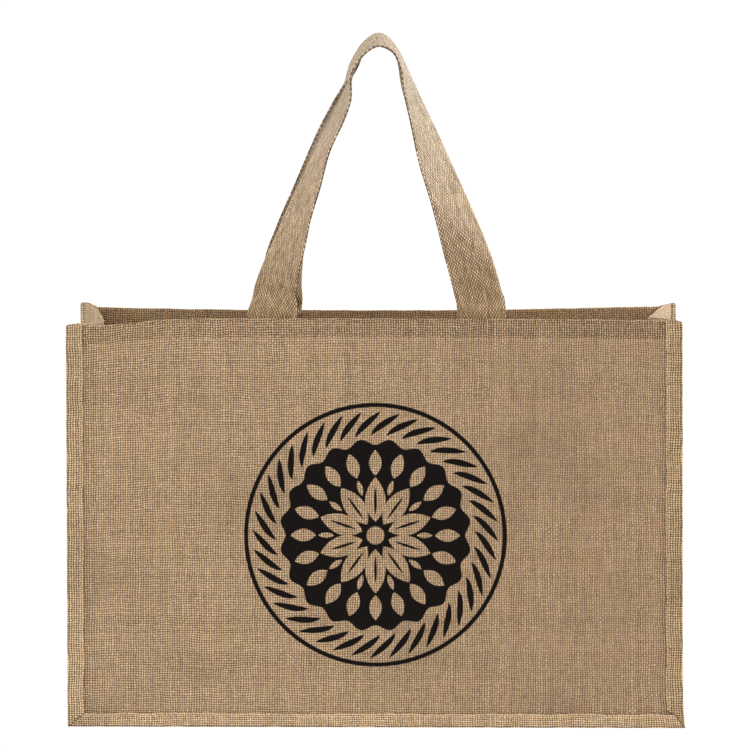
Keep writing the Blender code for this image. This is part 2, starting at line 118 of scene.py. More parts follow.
# %% settle
FRONT_BOW, BACK_BOW, BOW_SPREAD, BOW_RISE = 15.0, 28.0, 2.5, 1.6
FRONT_LIFT, LEFT_CORNER_DROP, LEFT_CORNER_START, LEFT_CORNER_REACH = 2.3, 5.0, -216.0, 80.0
BACK_DROP, BACK_RIGHT_LIFT, RIM_UNEVENNESS = 3.3, 1.3, 0.35
SIDE_SHIFT, TOP_LEAN, BASE_SPREAD = -1.0, -0.75, 0.75
CORNER_FLARE, CORNER_FLARE_START, CORNER_FLARE_HEIGHT = 2.0, 0.8, 12.0
SEAM_TOP, LEVEL_BETWEEN, FADE_ABOVE_RIM, MOUTH_RISE = 12.0, 160.0, 60.0, 8
LONG_WAVE, LONG_WAVE_LENGTH, SHORT_WAVE, SHORT_WAVE_LENGTH = 0.72, 118.0, 0.48, 73.0
BROAD_RUMPLE, FINE_RUMPLE, CALM_FOOT, CALM_SIDE = 0.55, 0.16, 30.0, 14.0


def rumple(x, z):
    """Small unevenness of the cloth, from one hand's width down to a few yarns."""
    broad = noise.noise(Vector((x / 46.0, 3.1, z / 52.0)))
    fine = noise.noise(Vector((x / 13.0, 9.7, z / 11.0)))
    return BROAD_RUMPLE * broad + FINE_RUMPLE * fine


def settle(x, y, z):
    """Moves a point of the squarely laid out bag to where it is on the standing bag."""
    rise = min(z, RIM_HEIGHT) / RIM_HEIGHT
    above_seam = max(0.0, min(z, RIM_HEIGHT) - SEAM_TOP) / (RIM_HEIGHT - SEAM_TOP)
    hold = 1.0 - smooth((z - RIM_HEIGHT) / FADE_ABOVE_RIM)
    across = x / HALF_WIDTH
    backness = smooth(0.5 + y / LEVEL_BETWEEN)
    frontness = 1.0 - backness
    middle = 1.0 - min(1.0, abs(across)) ** BOW_SPREAD

    bow = FRONT_BOW * frontness - BACK_BOW * backness
    waves = LONG_WAVE * math.sin(math.tau * x / LONG_WAVE_LENGTH + 0.8)
    waves += SHORT_WAVE * math.sin(math.tau * x / SHORT_WAVE_LENGTH + 2.1 + 1.5 * rise)
    ripple = waves * math.sin(math.pi * above_seam)
    calm = smooth(z / CALM_FOOT) * smooth((HALF_WIDTH - abs(x)) / CALM_SIDE) * hold
    ripple = (ripple + rumple(x, z) * calm) * (backness - frontness)
    y_settled = y + hold * middle * (bow * above_seam**BOW_RISE + ripple)

    left_end = 1.0 - smooth((x - LEFT_CORNER_START) / LEFT_CORNER_REACH)
    front_lift = FRONT_LIFT - LEFT_CORNER_DROP * left_end
    back_lift = BACK_RIGHT_LIFT * smooth(across) - BACK_DROP
    uneven = noise.noise(Vector((x / 17.0, 5.0, 0.3 * backness)))
    uneven = RIM_UNEVENNESS * uneven * rise**MOUTH_RISE
    lift = rise**2 * (front_lift * frontness + back_lift * backness)
    z_settled = z + hold * (lift + uneven)

    near_corner = smooth((across - CORNER_FLARE_START) / (1.0 - CORNER_FLARE_START))
    flare = CORNER_FLARE * near_corner * math.exp(-z / CORNER_FLARE_HEIGHT)
    lean = TOP_LEAN * rise * hold + BASE_SPREAD * across * (1.0 - rise)
    x_settled = x + SIDE_SHIFT + lean + flare
    return x_settled, y_settled, z_settled


print("the front rim's middle bows in to", round(settle(0.0, -PANEL_FACE, RIM_HEIGHT)[1], 1), "mm")

# %% [markdown]
# ## From two grids to a closed cloth
# Each piece is worked out as two grids of points, the cloth's outer and its inner face.  This
# helper settles the points, joins the grids along their border and keeps every point's place on
# the flat cloth as its UV.  The weave is drawn from that place, so it follows every fold.

# %% cloth piece
SHARP_FROM = math.radians(60.0)


def grid_faces(rows, columns):
    """The four-sided faces of a grid of points that are numbered row by row."""
    faces = []
    for i in range(rows - 1):
        for j in range(columns - 1):
            a = i * columns + j
            faces.append((a, a + 1, a + columns + 1, a + columns))
    return faces


def grid_border(rows, columns):
    """The numbers of the points round a grid's border."""
    border = [(i, 0) for i in range(rows)]
    border += [(rows - 1, j) for j in range(1, columns)]
    border += [(i, columns - 1) for i in range(rows - 2, -1, -1)]
    border += [(0, j) for j in range(columns - 2, 0, -1)]
    return [i * columns + j for i, j in border]


def cloth_piece(name, outside, inside, lay, finishes, inner=None):
    """Makes a closed piece from the two faces of a cloth, grids of points in rows of equal length.

    lay holds each point's place on the flat cloth.  inner is the finish of the inner face."""
    rows, columns = len(outside), len(outside[0])
    size = rows * columns
    grids = (outside, inside)
    points = [[c * MM for c in settle(*p)] for grid in grids for row in grid for p in row]
    faces = grid_faces(rows, columns)
    under = [tuple(size + k for k in reversed(face)) for face in faces]
    ring = grid_border(rows, columns)
    edge = [(a, b, b + size, a + size) for a, b in zip(ring, ring[1:] + ring[:1])]
    mesh = bpy.data.meshes.new(name)
    mesh.from_pydata(points, [], faces + under + edge)
    flat = [place for row in lay for place in row]
    uv = mesh.uv_layers.new(name="cloth")
    for loop in mesh.loops:
        uv.data[loop.index].uv = flat[loop.vertex_index % size]
    for finish in finishes:
        mesh.materials.append(finish)
    if inner is not None:
        for k in range(len(faces), len(faces) + len(under)):
            mesh.polygons[k].material_index = inner
    made = bpy.data.objects.new(name, mesh)
    bpy.context.scene.collection.objects.link(made)
    bpy.context.view_layer.objects.active = made
    made.select_set(True)
    bpy.ops.object.mode_set(mode="EDIT")
    bpy.ops.mesh.select_all(action="SELECT")
    bpy.ops.mesh.normals_make_consistent(inside=False)
    bpy.ops.object.mode_set(mode="OBJECT")
    made.select_set(False)
    mesh.shade_smooth()
    mesh.set_sharp_from_angle(angle=SHARP_FROM)
    print(name, len(mesh.polygons), "faces")
    return made


def run_lengths(points):
    """How far along a polyline each of its points lies."""
    run = [0.0]
    for a, b in zip(points, points[1:]):
        run.append(run[-1] + math.dist(a, b))
    return run


print("a grid of 2 by 3 points has", len(grid_faces(2, 3)), "faces")

# %% [markdown]
# ## Node helper
# Every finish below is arithmetic on the cloth's own coordinates.  This small helper writes
# such arithmetic as nodes, so that a weave reads like a formula.

# %% node helper


class Finish:
    """A material under construction, with short names for the nodes that it needs."""

    def __init__(self, name):
        self.material = bpy.data.materials.new(name)
        self.material.use_nodes = True
        self.tree = self.material.node_tree
        self.shader = self.tree.nodes["Principled BSDF"]

    def put(self, socket, value):
        """Links a socket to an output, or sets it to a value."""
        if isinstance(value, bpy.types.NodeSocket):
            self.tree.links.new(value, socket)
        else:
            socket.default_value = value

    def math(self, operation, a, b=0.0, c=0.0, clamp=False):
        node = self.tree.nodes.new("ShaderNodeMath")
        node.operation = operation
        node.use_clamp = clamp
        for socket, value in zip(node.inputs, (a, b, c)):
            self.put(socket, value)
        return node.outputs[0]

    def add(self, a, b):
        return self.math("ADD", a, b)

    def sub(self, a, b):
        return self.math("SUBTRACT", a, b)

    def mul(self, a, b):
        return self.math("MULTIPLY", a, b)

    def top(self, a, b):
        return self.math("MAXIMUM", a, b)

    def ramp(self, value, low, high, out_low=0.0, out_high=1.0):
        """A smooth step of a value from low to high."""
        node = self.tree.nodes.new("ShaderNodeMapRange")
        node.interpolation_type = "SMOOTHSTEP"
        for socket, number in zip(node.inputs, (value, low, high, out_low, out_high)):
            self.put(socket, number)
        return node.outputs[0]

    def vector(self, x, y, z=0.0):
        node = self.tree.nodes.new("ShaderNodeCombineXYZ")
        for socket, value in zip(node.inputs, (x, y, z)):
            self.put(socket, value)
        return node.outputs[0]

    def noise(self, vector, scale, detail=2.0, rough=0.5):
        node = self.tree.nodes.new("ShaderNodeTexNoise")
        self.put(node.inputs["Vector"], vector)
        node.inputs["Scale"].default_value = scale
        node.inputs["Detail"].default_value = detail
        node.inputs["Roughness"].default_value = rough
        return node.outputs["Fac"]

    def sway(self, vector, scale, reach):
        """Noise about zero, of a total width of reach."""
        return self.mul(self.sub(self.noise(vector, scale, 2.0), 0.5), reach)

    def chance(self, x, y):
        """A random value for each pair of whole numbers."""
        node = self.tree.nodes.new("ShaderNodeTexWhiteNoise")
        node.noise_dimensions = "2D"
        self.put(node.inputs["Vector"], self.vector(x, y))
        return node.outputs["Value"]

    def mix(self, share, a, b, blend="MIX"):
        node = self.tree.nodes.new("ShaderNodeMix")
        node.data_type = "RGBA"
        node.blend_type = blend
        self.put(node.inputs[0], share)
        self.put(node.inputs[6], a)
        self.put(node.inputs[7], b)
        return node.outputs[2]

    def tinted(self, colour, share, tint):
        """The colour, multiplied by a tint where share is 1."""
        return self.mix(share, colour, self.mix(1.0, colour, tint, "MULTIPLY"))

    def cell(self, value):
        """The whole number under a value, and how far the value is from the cell's middle."""
        whole = self.math("FLOOR", value)
        return whole, self.sub(self.sub(value, whole), 0.5)

    def cloth_place(self):
        """The place on the flat cloth, in millimetres."""
        node = self.tree.nodes.new("ShaderNodeUVMap")
        node.uv_map = "cloth"
        split = self.tree.nodes.new("ShaderNodeSeparateXYZ")
        self.tree.links.new(node.outputs[0], split.inputs[0])
        return split.outputs[0], split.outputs[1]

    def bump(self, height, distance):
        node = self.tree.nodes.new("ShaderNodeBump")
        node.inputs["Strength"].default_value = 1.0
        node.inputs["Distance"].default_value = distance
        self.put(node.inputs["Height"], height)
        self.tree.links.new(node.outputs[0], self.shader.inputs["Normal"])


print("the node helper has", len([name for name in vars(Finish) if name[0] != "_"]), "short names")

# %% [markdown]
# ## The weave of burlap
# Burlap is an open plain weave of thick jute singles.  Each yarn goes over one and under one,
# so the height of a yarn at a crossing is a cosine that changes sign from yarn to yarn.  Jute
# is spun unevenly: thick slubs, thin places and a slow wander of the yarns keep the little
# holes from lining up.  Where the cloth is folded double, it looks more open.  Towards the
# right the yarns of this cloth lie closer, and the warp stands out more.

# %% weave
WARP_PITCH, WEFT_PITCH = 1.81, 1.73
# How far a yarn strays in all, slowly along the cloth and from one yarn to the next
WANDER, SHIVER = 3.2, 0.30
# Half the width of a yarn, what a slub adds and what differs from yarn to yarn, in pitches
HALF_WARP, HALF_WEFT, SLUB, UNEVEN = 0.14, 0.13, 0.42, 0.12
# What open cloth takes from that width and how suddenly, and what close cloth adds
OPEN_TAKES, OPEN_POWER, CLOSE_ADDS, CLOSE_FROM, CLOSE_TO = 0.090, 2.5, 0.03, -160.0, 60.0
WARP_RAISE, WARP_RAISE_REACH = 0.20, 120.0
# A yarn's height is part round section and part crimp; beside it the hole falls away
ROUND_PART, CRIMP_PART, HOLE_DEPTH, HOLE_FLOOR = 0.60, 0.40, 1.6, -0.5


def weave(f, x, y, opened):
    """The height of a plain weave, whether the warp is on top, which yarns, a chance per hole."""
    place = f.vector(x, y)
    wander_x = f.sway(place, 0.045, WANDER)
    wander_y = f.sway(f.vector(y, x, 7.0), 0.05, WANDER)
    shiver = f.sway(place, 0.55, SHIVER)
    u = f.math("DIVIDE", f.add(f.add(x, wander_x), shiver), WARP_PITCH)
    v = f.math("DIVIDE", f.sub(f.add(y, wander_y), shiver), WEFT_PITCH)
    column, across = f.cell(u)
    row, along = f.cell(v)
    over = f.math("PINGPONG", f.add(column, row), 1.0)
    over = f.sub(f.mul(over, 2.0), 1.0)

    opening = f.mul(f.math("POWER", opened, OPEN_POWER), OPEN_TAKES)
    closing = f.mul(f.ramp(x, CLOSE_FROM, CLOSE_TO), CLOSE_ADDS)
    narrow = f.sub(opening, f.mul(f.sub(1.0, opened), closing))

    def half_width(start, number, seed, slub):
        uneven = f.mul(f.sub(f.chance(number, seed), 0.5), UNEVEN)
        return f.sub(f.add(f.add(start, uneven), f.mul(slub, SLUB)), narrow)

    def yarn(offset, half, crimp):
        ratio = f.math("DIVIDE", offset, half)
        round_top = f.math("SQRT", f.top(f.sub(1.0, f.mul(ratio, ratio)), 0.0))
        beside = f.ramp(f.sub(f.math("ABSOLUTE", offset), half), -0.03, 0.05)
        raised = f.add(f.mul(round_top, ROUND_PART), f.mul(crimp, CRIMP_PART))
        return f.sub(raised, f.mul(beside, HOLE_DEPTH))

    slub_warp = f.noise(f.vector(f.mul(column, 3.7), f.mul(y, 0.30)), 1.0, 2.0)
    slub_weft = f.noise(f.vector(f.mul(x, 0.28), f.mul(row, 3.1), 4.0), 1.0, 2.0)
    half_warp = half_width(HALF_WARP, column, 3.0, slub_warp)
    half_weft = half_width(HALF_WEFT, row, 8.0, slub_weft)
    warp_crimp = f.mul(f.math("COSINE", f.mul(along, math.pi)), over)
    weft_crimp = f.mul(f.math("COSINE", f.mul(across, math.pi)), f.mul(over, -1.0))
    raise_warp = f.mul(f.ramp(x, -WARP_RAISE_REACH, WARP_RAISE_REACH), WARP_RAISE)
    warp = f.add(yarn(across, half_warp, warp_crimp), raise_warp)
    weft = yarn(along, half_weft, weft_crimp)
    height = f.top(f.top(warp, weft), HOLE_FLOOR)
    warp_on_top = f.math("GREATER_THAN", warp, weft)
    hole = f.chance(f.math("ROUND", u), f.math("ROUND", v))
    return height, warp_on_top, column, row, hole


print("yarns in 10 cm:", round(100.0 / WARP_PITCH), "warp,", round(100.0 / WEFT_PITCH), "weft")

# %% [markdown]
# ## The colour of jute
# Colour goes with the yarn, because each one is a different bundle of stalks.  It is streaked
# along the fibres, with broad patches where the fibre was retted more or less.  Where a yarn
# dips under its neighbour, painted shade darkens it.  A hole is painted dark, as the shade of
# the bag's inside seen through it, or shows fuzz.  Burlap is dull: it has high roughness, hardly
# any gloss and a trace of sheen from loose fibres.

# %% jute colour
# A hole is painted dark as shade of the bag's inside, with fuzz over some holes
HOLE_SHADE, HOLE_FUZZ, FUZZ_SHARE = (0.035, 0.021, 0.011, 1.0), (0.19, 0.122, 0.068, 1.0), 0.75
SPECK_COLOUR, SPECK_SHARE = (0.30, 0.18, 0.09, 1.0), 0.30
# Painted shade where a yarn dips under its neighbour
DIP_SHADE, DIP_SHADE_AMOUNT = (0.10, 0.062, 0.033, 1.0), 0.80
TONE_LOW, TONE_HIGH = 0.78, 1.22
# Patches of other colours: the noise values between which they fade in, how strong they are,
# what colour, the noise's scale and its layer
Patch = namedtuple("Patch", "low high share tint scale layer")
BURLAP_PATCHES = (
    Patch(0.50, 0.66, 0.30, (0.72, 0.43, 0.25, 1.0), 0.034, 3.0),
    Patch(0.54, 0.70, 0.26, (0.58, 0.44, 0.19, 1.0), 0.038, 11.0),
    Patch(0.50, 0.70, 0.30, (0.38, 0.27, 0.17, 1.0), 0.012, 23.0),
)


def patched(f, colour, x, y, patches, detail):
    """Lays soft patches of other colours over a colour."""
    for p in patches:
        shape = f.ramp(f.noise(f.vector(x, y, p.layer), p.scale, detail), p.low, p.high)
        colour = f.mix(f.mul(shape, p.share), colour, p.tint)
    return colour


def jute_colour(f, x, y, woven, pale, dark):
    """Jute colour yarn by yarn, streaked, patched, with painted shade in dips and holes."""
    height, warp_on_top, column, row, hole = woven
    warp_tone = f.noise(f.vector(f.mul(column, 5.3), f.mul(y, 0.05), 2.0), 1.0, 3.0)
    weft_tone = f.noise(f.vector(f.mul(x, 0.16), f.mul(row, 4.9), 6.0), 1.0, 3.0)
    warp_streak = f.noise(f.vector(f.mul(x, 5.0), f.mul(y, 0.55), 31.0), 1.0, 2.0, 0.6)
    weft_streak = f.noise(f.vector(f.mul(x, 0.55), f.mul(y, 5.0), 37.0), 1.0, 2.0, 0.6)
    tone = f.mix(warp_on_top, f.add(weft_tone, weft_streak), f.add(warp_tone, warp_streak))
    colour = f.mix(f.ramp(tone, TONE_LOW, TONE_HIGH), dark, pale)
    colour = patched(f, colour, x, f.mul(y, 1.3), BURLAP_PATCHES, 3.0)
    speck = f.ramp(f.noise(f.vector(x, y), 1.1, 3.0, 0.7), 0.60, 0.78)
    colour = f.mix(f.mul(speck, SPECK_SHARE), colour, SPECK_COLOUR)
    # Painted shade: the lower a yarn lies, the darker it is painted
    yarn_dip_shade = f.mix(DIP_SHADE_AMOUNT, colour, DIP_SHADE)
    colour = f.mix(f.ramp(height, 0.32, 1.02), yarn_dip_shade, colour)
    # Painted shade in the holes, with fuzz in some
    shade_in_hole = f.mix(f.mul(hole, FUZZ_SHARE), HOLE_SHADE, HOLE_FUZZ)
    return f.mix(f.ramp(height, -0.35, 0.35), shade_in_hole, colour)


def set_surface(f, colour, roughness):
    """A dull surface with the slight sheen of loose fibres."""
    f.put(f.shader.inputs["Base Color"], colour)
    f.put(f.shader.inputs["Roughness"], roughness)
    f.shader.inputs["Sheen Weight"].default_value = 0.06
    f.shader.inputs["Sheen Roughness"].default_value = 0.5
    f.shader.inputs["Sheen Tint"].default_value = (0.95, 0.85, 0.70, 1.0)
    f.shader.inputs["Specular IOR Level"].default_value = 0.10


def fibre_height(f, x, y, height):
    """The weave's height with its fuzz of single fibres."""
    fuzz = f.noise(f.vector(x, y), 2.6, 3.0, 0.7)
    return f.add(height, f.mul(f.sub(fuzz, 0.5), 0.5))


print(len(BURLAP_PATCHES), "kinds of patches in the burlap")

# %% [markdown]
# ## The print
# Bags like this carry a big round print in black.  Ours is a plain ornament of leaves and
# petals, worked out from the distance and the angle round its middle: a wreath of leaves
# between a ring and a dark rosette, and a flower left open in the rosette.

# %% print
PRINT_PLACE, PRINT_RADIUS, RING_WIDTH, PRINT_EDGE = (0.6, 143.2), 97.5, 3.2, 0.35
INK_COLOUR = (0.0042, 0.0026, 0.0024, 1.0)


def ink(f, x, y):
    """How much of a place is covered by ink, in a round ornament about the middle."""
    radius = f.math("SQRT", f.add(f.mul(x, x), f.mul(y, y)))
    turn = f.math("DIVIDE", f.math("ARCTAN2", y, x), math.tau)

    def within(low, high):
        from_low = f.ramp(radius, low - PRINT_EDGE, low + PRINT_EDGE)
        return f.mul(from_low, f.ramp(radius, high - PRINT_EDGE, high + PRINT_EDGE, 1.0, 0.0))

    def leaves(count, middle, half_length, half_width, lean=0.0, phase=0.0):
        """Pointed ovals set round a circle, each leaning by a share of its spacing."""
        leaned = f.add(f.add(turn, phase), f.mul(f.sub(radius, middle), lean))
        _, offset = f.cell(f.mul(leaned, float(count)))
        sideways = f.math("ABSOLUTE", f.mul(offset, f.mul(radius, math.tau / count)))
        reach = f.math("DIVIDE", f.sub(radius, middle), half_length)
        width = f.mul(f.top(f.sub(1.0, f.mul(reach, reach)), 0.0), half_width)
        inside = f.ramp(f.sub(width, sideways), -PRINT_EDGE, PRINT_EDGE)
        return f.mul(inside, f.ramp(width, 0.05, 0.4))

    ring = within(PRINT_RADIUS - RING_WIDTH, PRINT_RADIUS)
    wreath = leaves(count=40, middle=82.5, half_length=9.0, half_width=3.6, lean=0.0022)
    scallop = f.mul(f.math("COSINE", f.mul(turn, math.tau * 20)), 2.2)
    rosette = f.ramp(f.add(radius, scallop), 68.6, 69.4, 1.0, 0.0)
    outer_petals = leaves(count=20, middle=53.5, half_length=9.5, half_width=4.6, phase=0.025)
    petals = leaves(count=10, middle=26.5, half_length=16.5, half_width=7.6)
    veins = leaves(count=10, middle=25.0, half_length=11.0, half_width=1.0)
    between_petals = leaves(count=10, middle=36.5, half_length=6.0, half_width=2.0, phase=0.05)
    eye = f.ramp(radius, 6.2, 7.0, 1.0, 0.0)
    open_parts = f.top(f.top(outer_petals, between_petals), f.sub(petals, veins))
    open_parts = f.top(f.top(open_parts, eye), 0.0)
    dark = f.mul(rosette, f.sub(1.0, open_parts))
    return f.math("MAXIMUM", f.top(ring, wreath), dark, clamp=True)


print("the print is", 2 * PRINT_RADIUS, "mm wide")

# %% [markdown]
# ## Burlap as a finish
# The weave, the colour and the print come together here.  The bump stays small, because the
# yarns are drawn by colour and by height, while hems, folds and stitches are real geometry.

# %% burlap
BURLAP_ROUGHNESS, ROUGHNESS_RANGE, BURLAP_BUMP = 0.86, 0.12, 0.00042
HEM_SHOWS_FROM, HEM_SHOWS_TO = 1.0, 5.0
NO_HEM = 1.0e6
Fade = namedtuple("Fade", "axis start end tint")
ACROSS, UP = 0, 1


def burlap(name, pale, dark, hem_from=NO_HEM, print_at=None, open_share=0.0, fades=()):
    """Burlap; above hem_from, where the cloth is double, its holes are larger.

    print_at is the ink's middle.  Each of the fades has the axis, the two places on it between
    which the cloth takes on a tint, and the tint."""
    f = Finish(name)
    x, y = f.cloth_place()
    hem = f.ramp(y, hem_from + HEM_SHOWS_FROM, hem_from + HEM_SHOWS_TO)
    woven = weave(f, x, y, f.top(hem, open_share))
    colour = jute_colour(f, x, y, woven, pale, dark)
    for fade in fades:
        share = f.ramp((x, y)[fade.axis], fade.start, fade.end)
        colour = f.tinted(colour, share, fade.tint)
    if print_at:
        inked = ink(f, f.sub(x, print_at[0]), f.sub(y, print_at[1]))
        colour = f.mix(inked, colour, INK_COLOUR)
    rough = f.mul(f.noise(f.vector(x, y), 0.4, 2.0), ROUGHNESS_RANGE)
    set_surface(f, colour, f.add(BURLAP_ROUGHNESS, rough))
    f.bump(fibre_height(f, x, y, woven[0]), BURLAP_BUMP)
    print("finish", name)
    return f.material


# %% [markdown]
# The front panel's tone fades a little from left to right.  Its hem is paler between its larger
# holes.  The inner faces are painted darker, as painted shade inside the bag.  The gusset and
# the binding tape are cut from other lengths of cloth, so each has its own tone.  The tape's
# place along its run is the height plus 500 on the left side and plus 900 on the right, so a fade
# between two places can tint one side alone.

# %% the burlap finishes
PALE, DARK = (0.80, 0.555, 0.335, 1.0), (0.49, 0.335, 0.20, 1.0)
hem_fade = Fade(UP, HEM_FOOT, HEM_FOOT + 4.0, (1.08, 1.08, 1.08, 1.0))
right_fade = Fade(ACROSS, -170.0, 130.0, (0.75, 0.735, 0.73, 1.0))
front_cloth = burlap(
    "burlap_front", PALE, DARK,
    hem_from=HEM_FOOT, print_at=PRINT_PLACE, fades=(right_fade, hem_fade),
)
plain_cloth = burlap("burlap", PALE, DARK, hem_from=HEM_FOOT, fades=(hem_fade,))
# Painted shade: the inner faces of the panels and the gusset are painted darker
inside_shade_cloth = burlap("burlap_painted_inside_shade", (0.72, 0.485, 0.28, 1.0), (0.36, 0.24, 0.135, 1.0))
side_cloth = burlap("burlap_gusset", (0.56, 0.39, 0.235, 1.0), (0.33, 0.225, 0.135, 1.0))

LEFT_RUN, RIGHT_RUN = 500.0, 900.0
# The holes of the folded tape look nearly as open as those of a hem
TAPE_OPEN = 0.8
side_fades = (
    Fade(UP, 300.0, 400.0, (0.91, 0.91, 0.90, 1.0)),
    Fade(UP, 840.0, 900.0, (0.87, 0.86, 0.82, 1.0)),
)
tape_cloth = burlap(
    "burlap_tape", (0.98, 0.69, 0.415, 1.0), (0.80, 0.55, 0.33, 1.0),
    open_share=TAPE_OPEN, fades=side_fades,
)
# Painted shade: a dark copy of the tape for the narrow faces where the laps step up
lap_shade_cloth = burlap(
    "burlap_tape_lap_shade", (0.20, 0.13, 0.075, 1.0), (0.10, 0.065, 0.035, 1.0),
    open_share=TAPE_OPEN,
)

# %% [markdown]
# ## Webbing
# The handles are jute webbing: a dense warp-faced tape.  Each warp yarn shows as a row of plump
# grains, and the grains of neighbouring yarns are staggered by half, with painted shade in the
# gaps between them.  The straps are painted darker near their feet, as painted shade, and paler
# towards the tops, as a painted highlight.

# %% webbing
GRAIN_WIDTH, GRAIN_SPACING, STRAP_RUN = 1.12, 3.9, 517.0
WEBBING_WANDER, WEBBING_ROUGHNESS, WEBBING_BUMP = 2.0, 0.9, 0.00045
WEBBING_DARK, WEBBING_PALE = (0.43, 0.30, 0.18, 1.0), (0.91, 0.65, 0.425, 1.0)
# Painted shade in the gaps between the grains
GRAIN_GAP_SHADE = (0.045, 0.028, 0.014, 1.0)
WEBBING_PATCHES = (
    Patch(0.50, 0.70, 0.30, (0.60, 0.37, 0.22, 1.0), 0.05, 3.0),
    Patch(0.52, 0.70, 0.35, (0.56, 0.44, 0.22, 1.0), 0.05, 11.0),
)
# Tints for painted shade near the feet and a painted highlight towards the tops
FOOT_SHADE_TINT, TOP_HIGHLIGHT_TINT = (0.82, 0.76, 0.68, 1.0), (1.0, 1.08, 1.20, 1.0)


def webbing(name):
    """Dense webbing; x runs across the strap and y along it."""
    f = Finish(name)
    x, y = f.cloth_place()
    wander = f.sway(f.vector(x, y), 0.07, WEBBING_WANDER)
    u = f.math("DIVIDE", f.add(x, f.mul(wander, 0.35)), GRAIN_WIDTH)
    column, across = f.cell(u)
    stagger = f.mul(f.math("PINGPONG", column, 1.0), 0.5)
    v = f.add(f.math("DIVIDE", f.add(y, wander), GRAIN_SPACING), stagger)
    row, along = f.cell(v)
    plump = f.noise(f.vector(f.mul(column, 4.1), f.mul(row, 2.3)), 1.0, 1.0)
    side = f.math("DIVIDE", across, f.add(0.36, f.mul(plump, 0.22)))
    end = f.math("DIVIDE", along, f.add(0.30, f.mul(plump, 0.16)))
    grain = f.top(f.sub(1.0, f.add(f.mul(side, side), f.mul(end, end))), 0.0)
    weft_ratio = f.math("DIVIDE", f.sub(f.math("ABSOLUTE", along), 0.5), 0.22)
    weft = f.top(f.sub(1.0, f.mul(weft_ratio, weft_ratio)), 0.0)
    height = f.top(f.math("SQRT", grain), f.mul(weft, 0.38))
    tone = f.noise(f.vector(f.mul(column, 3.9), f.mul(y, 0.10), 3.0), 1.0, 3.0)
    colour = f.mix(f.ramp(tone, 0.28, 0.72), WEBBING_DARK, WEBBING_PALE)
    colour = patched(f, colour, x, y, WEBBING_PATCHES, 2.0)
    # Painted shade: the low places between grains are darker
    colour = f.mix(f.ramp(height, 0.05, 0.85), GRAIN_GAP_SHADE, colour)
    from_foot = f.math("MINIMUM", y, f.sub(STRAP_RUN, y))
    # Painted shade: darker near the feet of the strap
    colour = f.tinted(colour, f.ramp(from_foot, 24.0, 130.0, 1.0, 0.0), FOOT_SHADE_TINT)
    # Painted highlight: paler and bluer towards the top of the strap
    colour = f.tinted(colour, f.ramp(from_foot, 110.0, 230.0), TOP_HIGHLIGHT_TINT)
    set_surface(f, colour, WEBBING_ROUGHNESS)
    f.bump(fibre_height(f, x, y, height), WEBBING_BUMP)
    print("finish", name)
    return f.material


strap_cloth = webbing("jute_webbing")

# %% [markdown]
# ## Thread
# The stitches are sewn with jute thread of the colour of the cloth.  A fine noise in the
# object's own space, in metres, stands for its twist.

# %% thread
THREAD_DARK, THREAD_PALE = (0.40, 0.28, 0.165, 1.0), (0.56, 0.41, 0.25, 1.0)
TWIST_SCALE, THREAD_ROUGHNESS, THREAD_BUMP = 900.0, 0.8, 0.0001


def thread(name):
    """Stitching thread with its twist."""
    f = Finish(name)
    place = f.tree.nodes.new("ShaderNodeTexCoord")
    twist = f.noise(place.outputs["Object"], TWIST_SCALE, 2.0)
    set_surface(f, f.mix(f.ramp(twist, 0.35, 0.7), THREAD_DARK, THREAD_PALE), THREAD_ROUGHNESS)
    f.bump(twist, THREAD_BUMP)
    print("finish", name)
    return f.material


jute_thread = thread("thread")

# %% [markdown]
# ## The two panels
# A panel is one cloth, cut 454 by 317 mm.  Its top edge is turned in 17 mm and stitched down,
# so the top shows a band of double cloth with a line of stitches along its foot, and the rim is
# a soft round fold.  The grid has extra lines where the hem starts and at the stitches, which
# pull the cloth in a little.

# %% panels
HEM_STEP, HEM_END, SEAM_START, SEAM_LOWER = 0.6, 212.0, 214.5, 2.2
HEM_STITCH, STITCH_PULL, RIM_PINCH = HEM_FOOT + 2.2, 0.35, 0.36
# Towards the rim: how far below it, and how much of the fold's roundness is reached
RIM_TURN = ((1.5, 0.0), (0.9, 0.12), (0.4, 0.35), (0.1, 0.7), (0.0, 1.0))


def panel_columns():
    """Where the panel's grid lines lie across it."""
    outer = [CLOTH_EDGE, 222.0, 217.0, SEAM_START, HEM_END, HEM_END - HEM_STEP]
    return [-x for x in outer] + between(-206.0, 206.0, 104) + outer[::-1]


def panel_levels():
    """The heights of the panel's grid lines, each with how far the rim's fold is turned."""
    levels = [CLOTH_FOOT, 6.5, SEAM_TOP] + between(16.0, HEM_FOOT - 4.0, 66)
    levels += [HEM_FOOT - HEM_STEP, HEM_FOOT]
    levels += [HEM_STITCH - 0.9, HEM_STITCH, HEM_STITCH + 0.9]
    levels += between(HEM_STITCH + 3.0, RIM_HEIGHT - 2.5, 4)
    return [(z, 0.0) for z in levels] + [(RIM_HEIGHT - drop, turn) for drop, turn in RIM_TURN]


def panel(name, side, finishes):
    """A panel with its hem; side is -1 at the front and 1 at the back."""
    outside, inside, lay = [], [], []
    columns = panel_columns()
    for level, turn in panel_levels():
        rows = ([], [], [])
        for x in columns:
            top = RIM_HEIGHT - SEAM_LOWER if abs(x) > SEAM_START else RIM_HEIGHT
            z = level - CLOTH_FOOT
            z = CLOTH_FOOT + z * (top - CLOTH_FOOT) / (RIM_HEIGHT - CLOTH_FOOT)
            hemmed = level >= HEM_FOOT and abs(x) < HEM_END
            thickness = CLOTH + (HEM_TURN if hemmed else 0.0)
            pull = STITCH_PULL if level == HEM_STITCH else 0.0
            pinch = turn * thickness * RIM_PINCH
            rows[0].append((x, side * (PANEL_FACE - pinch - pull), z))
            rows[1].append((x, side * (PANEL_FACE - thickness + pinch + pull), z))
            rows[2].append((x, z))
        for grid, row in zip((outside, inside, lay), rows):
            grid.append(row)
    return cloth_piece(name, outside, inside, lay, finishes, inner=1)


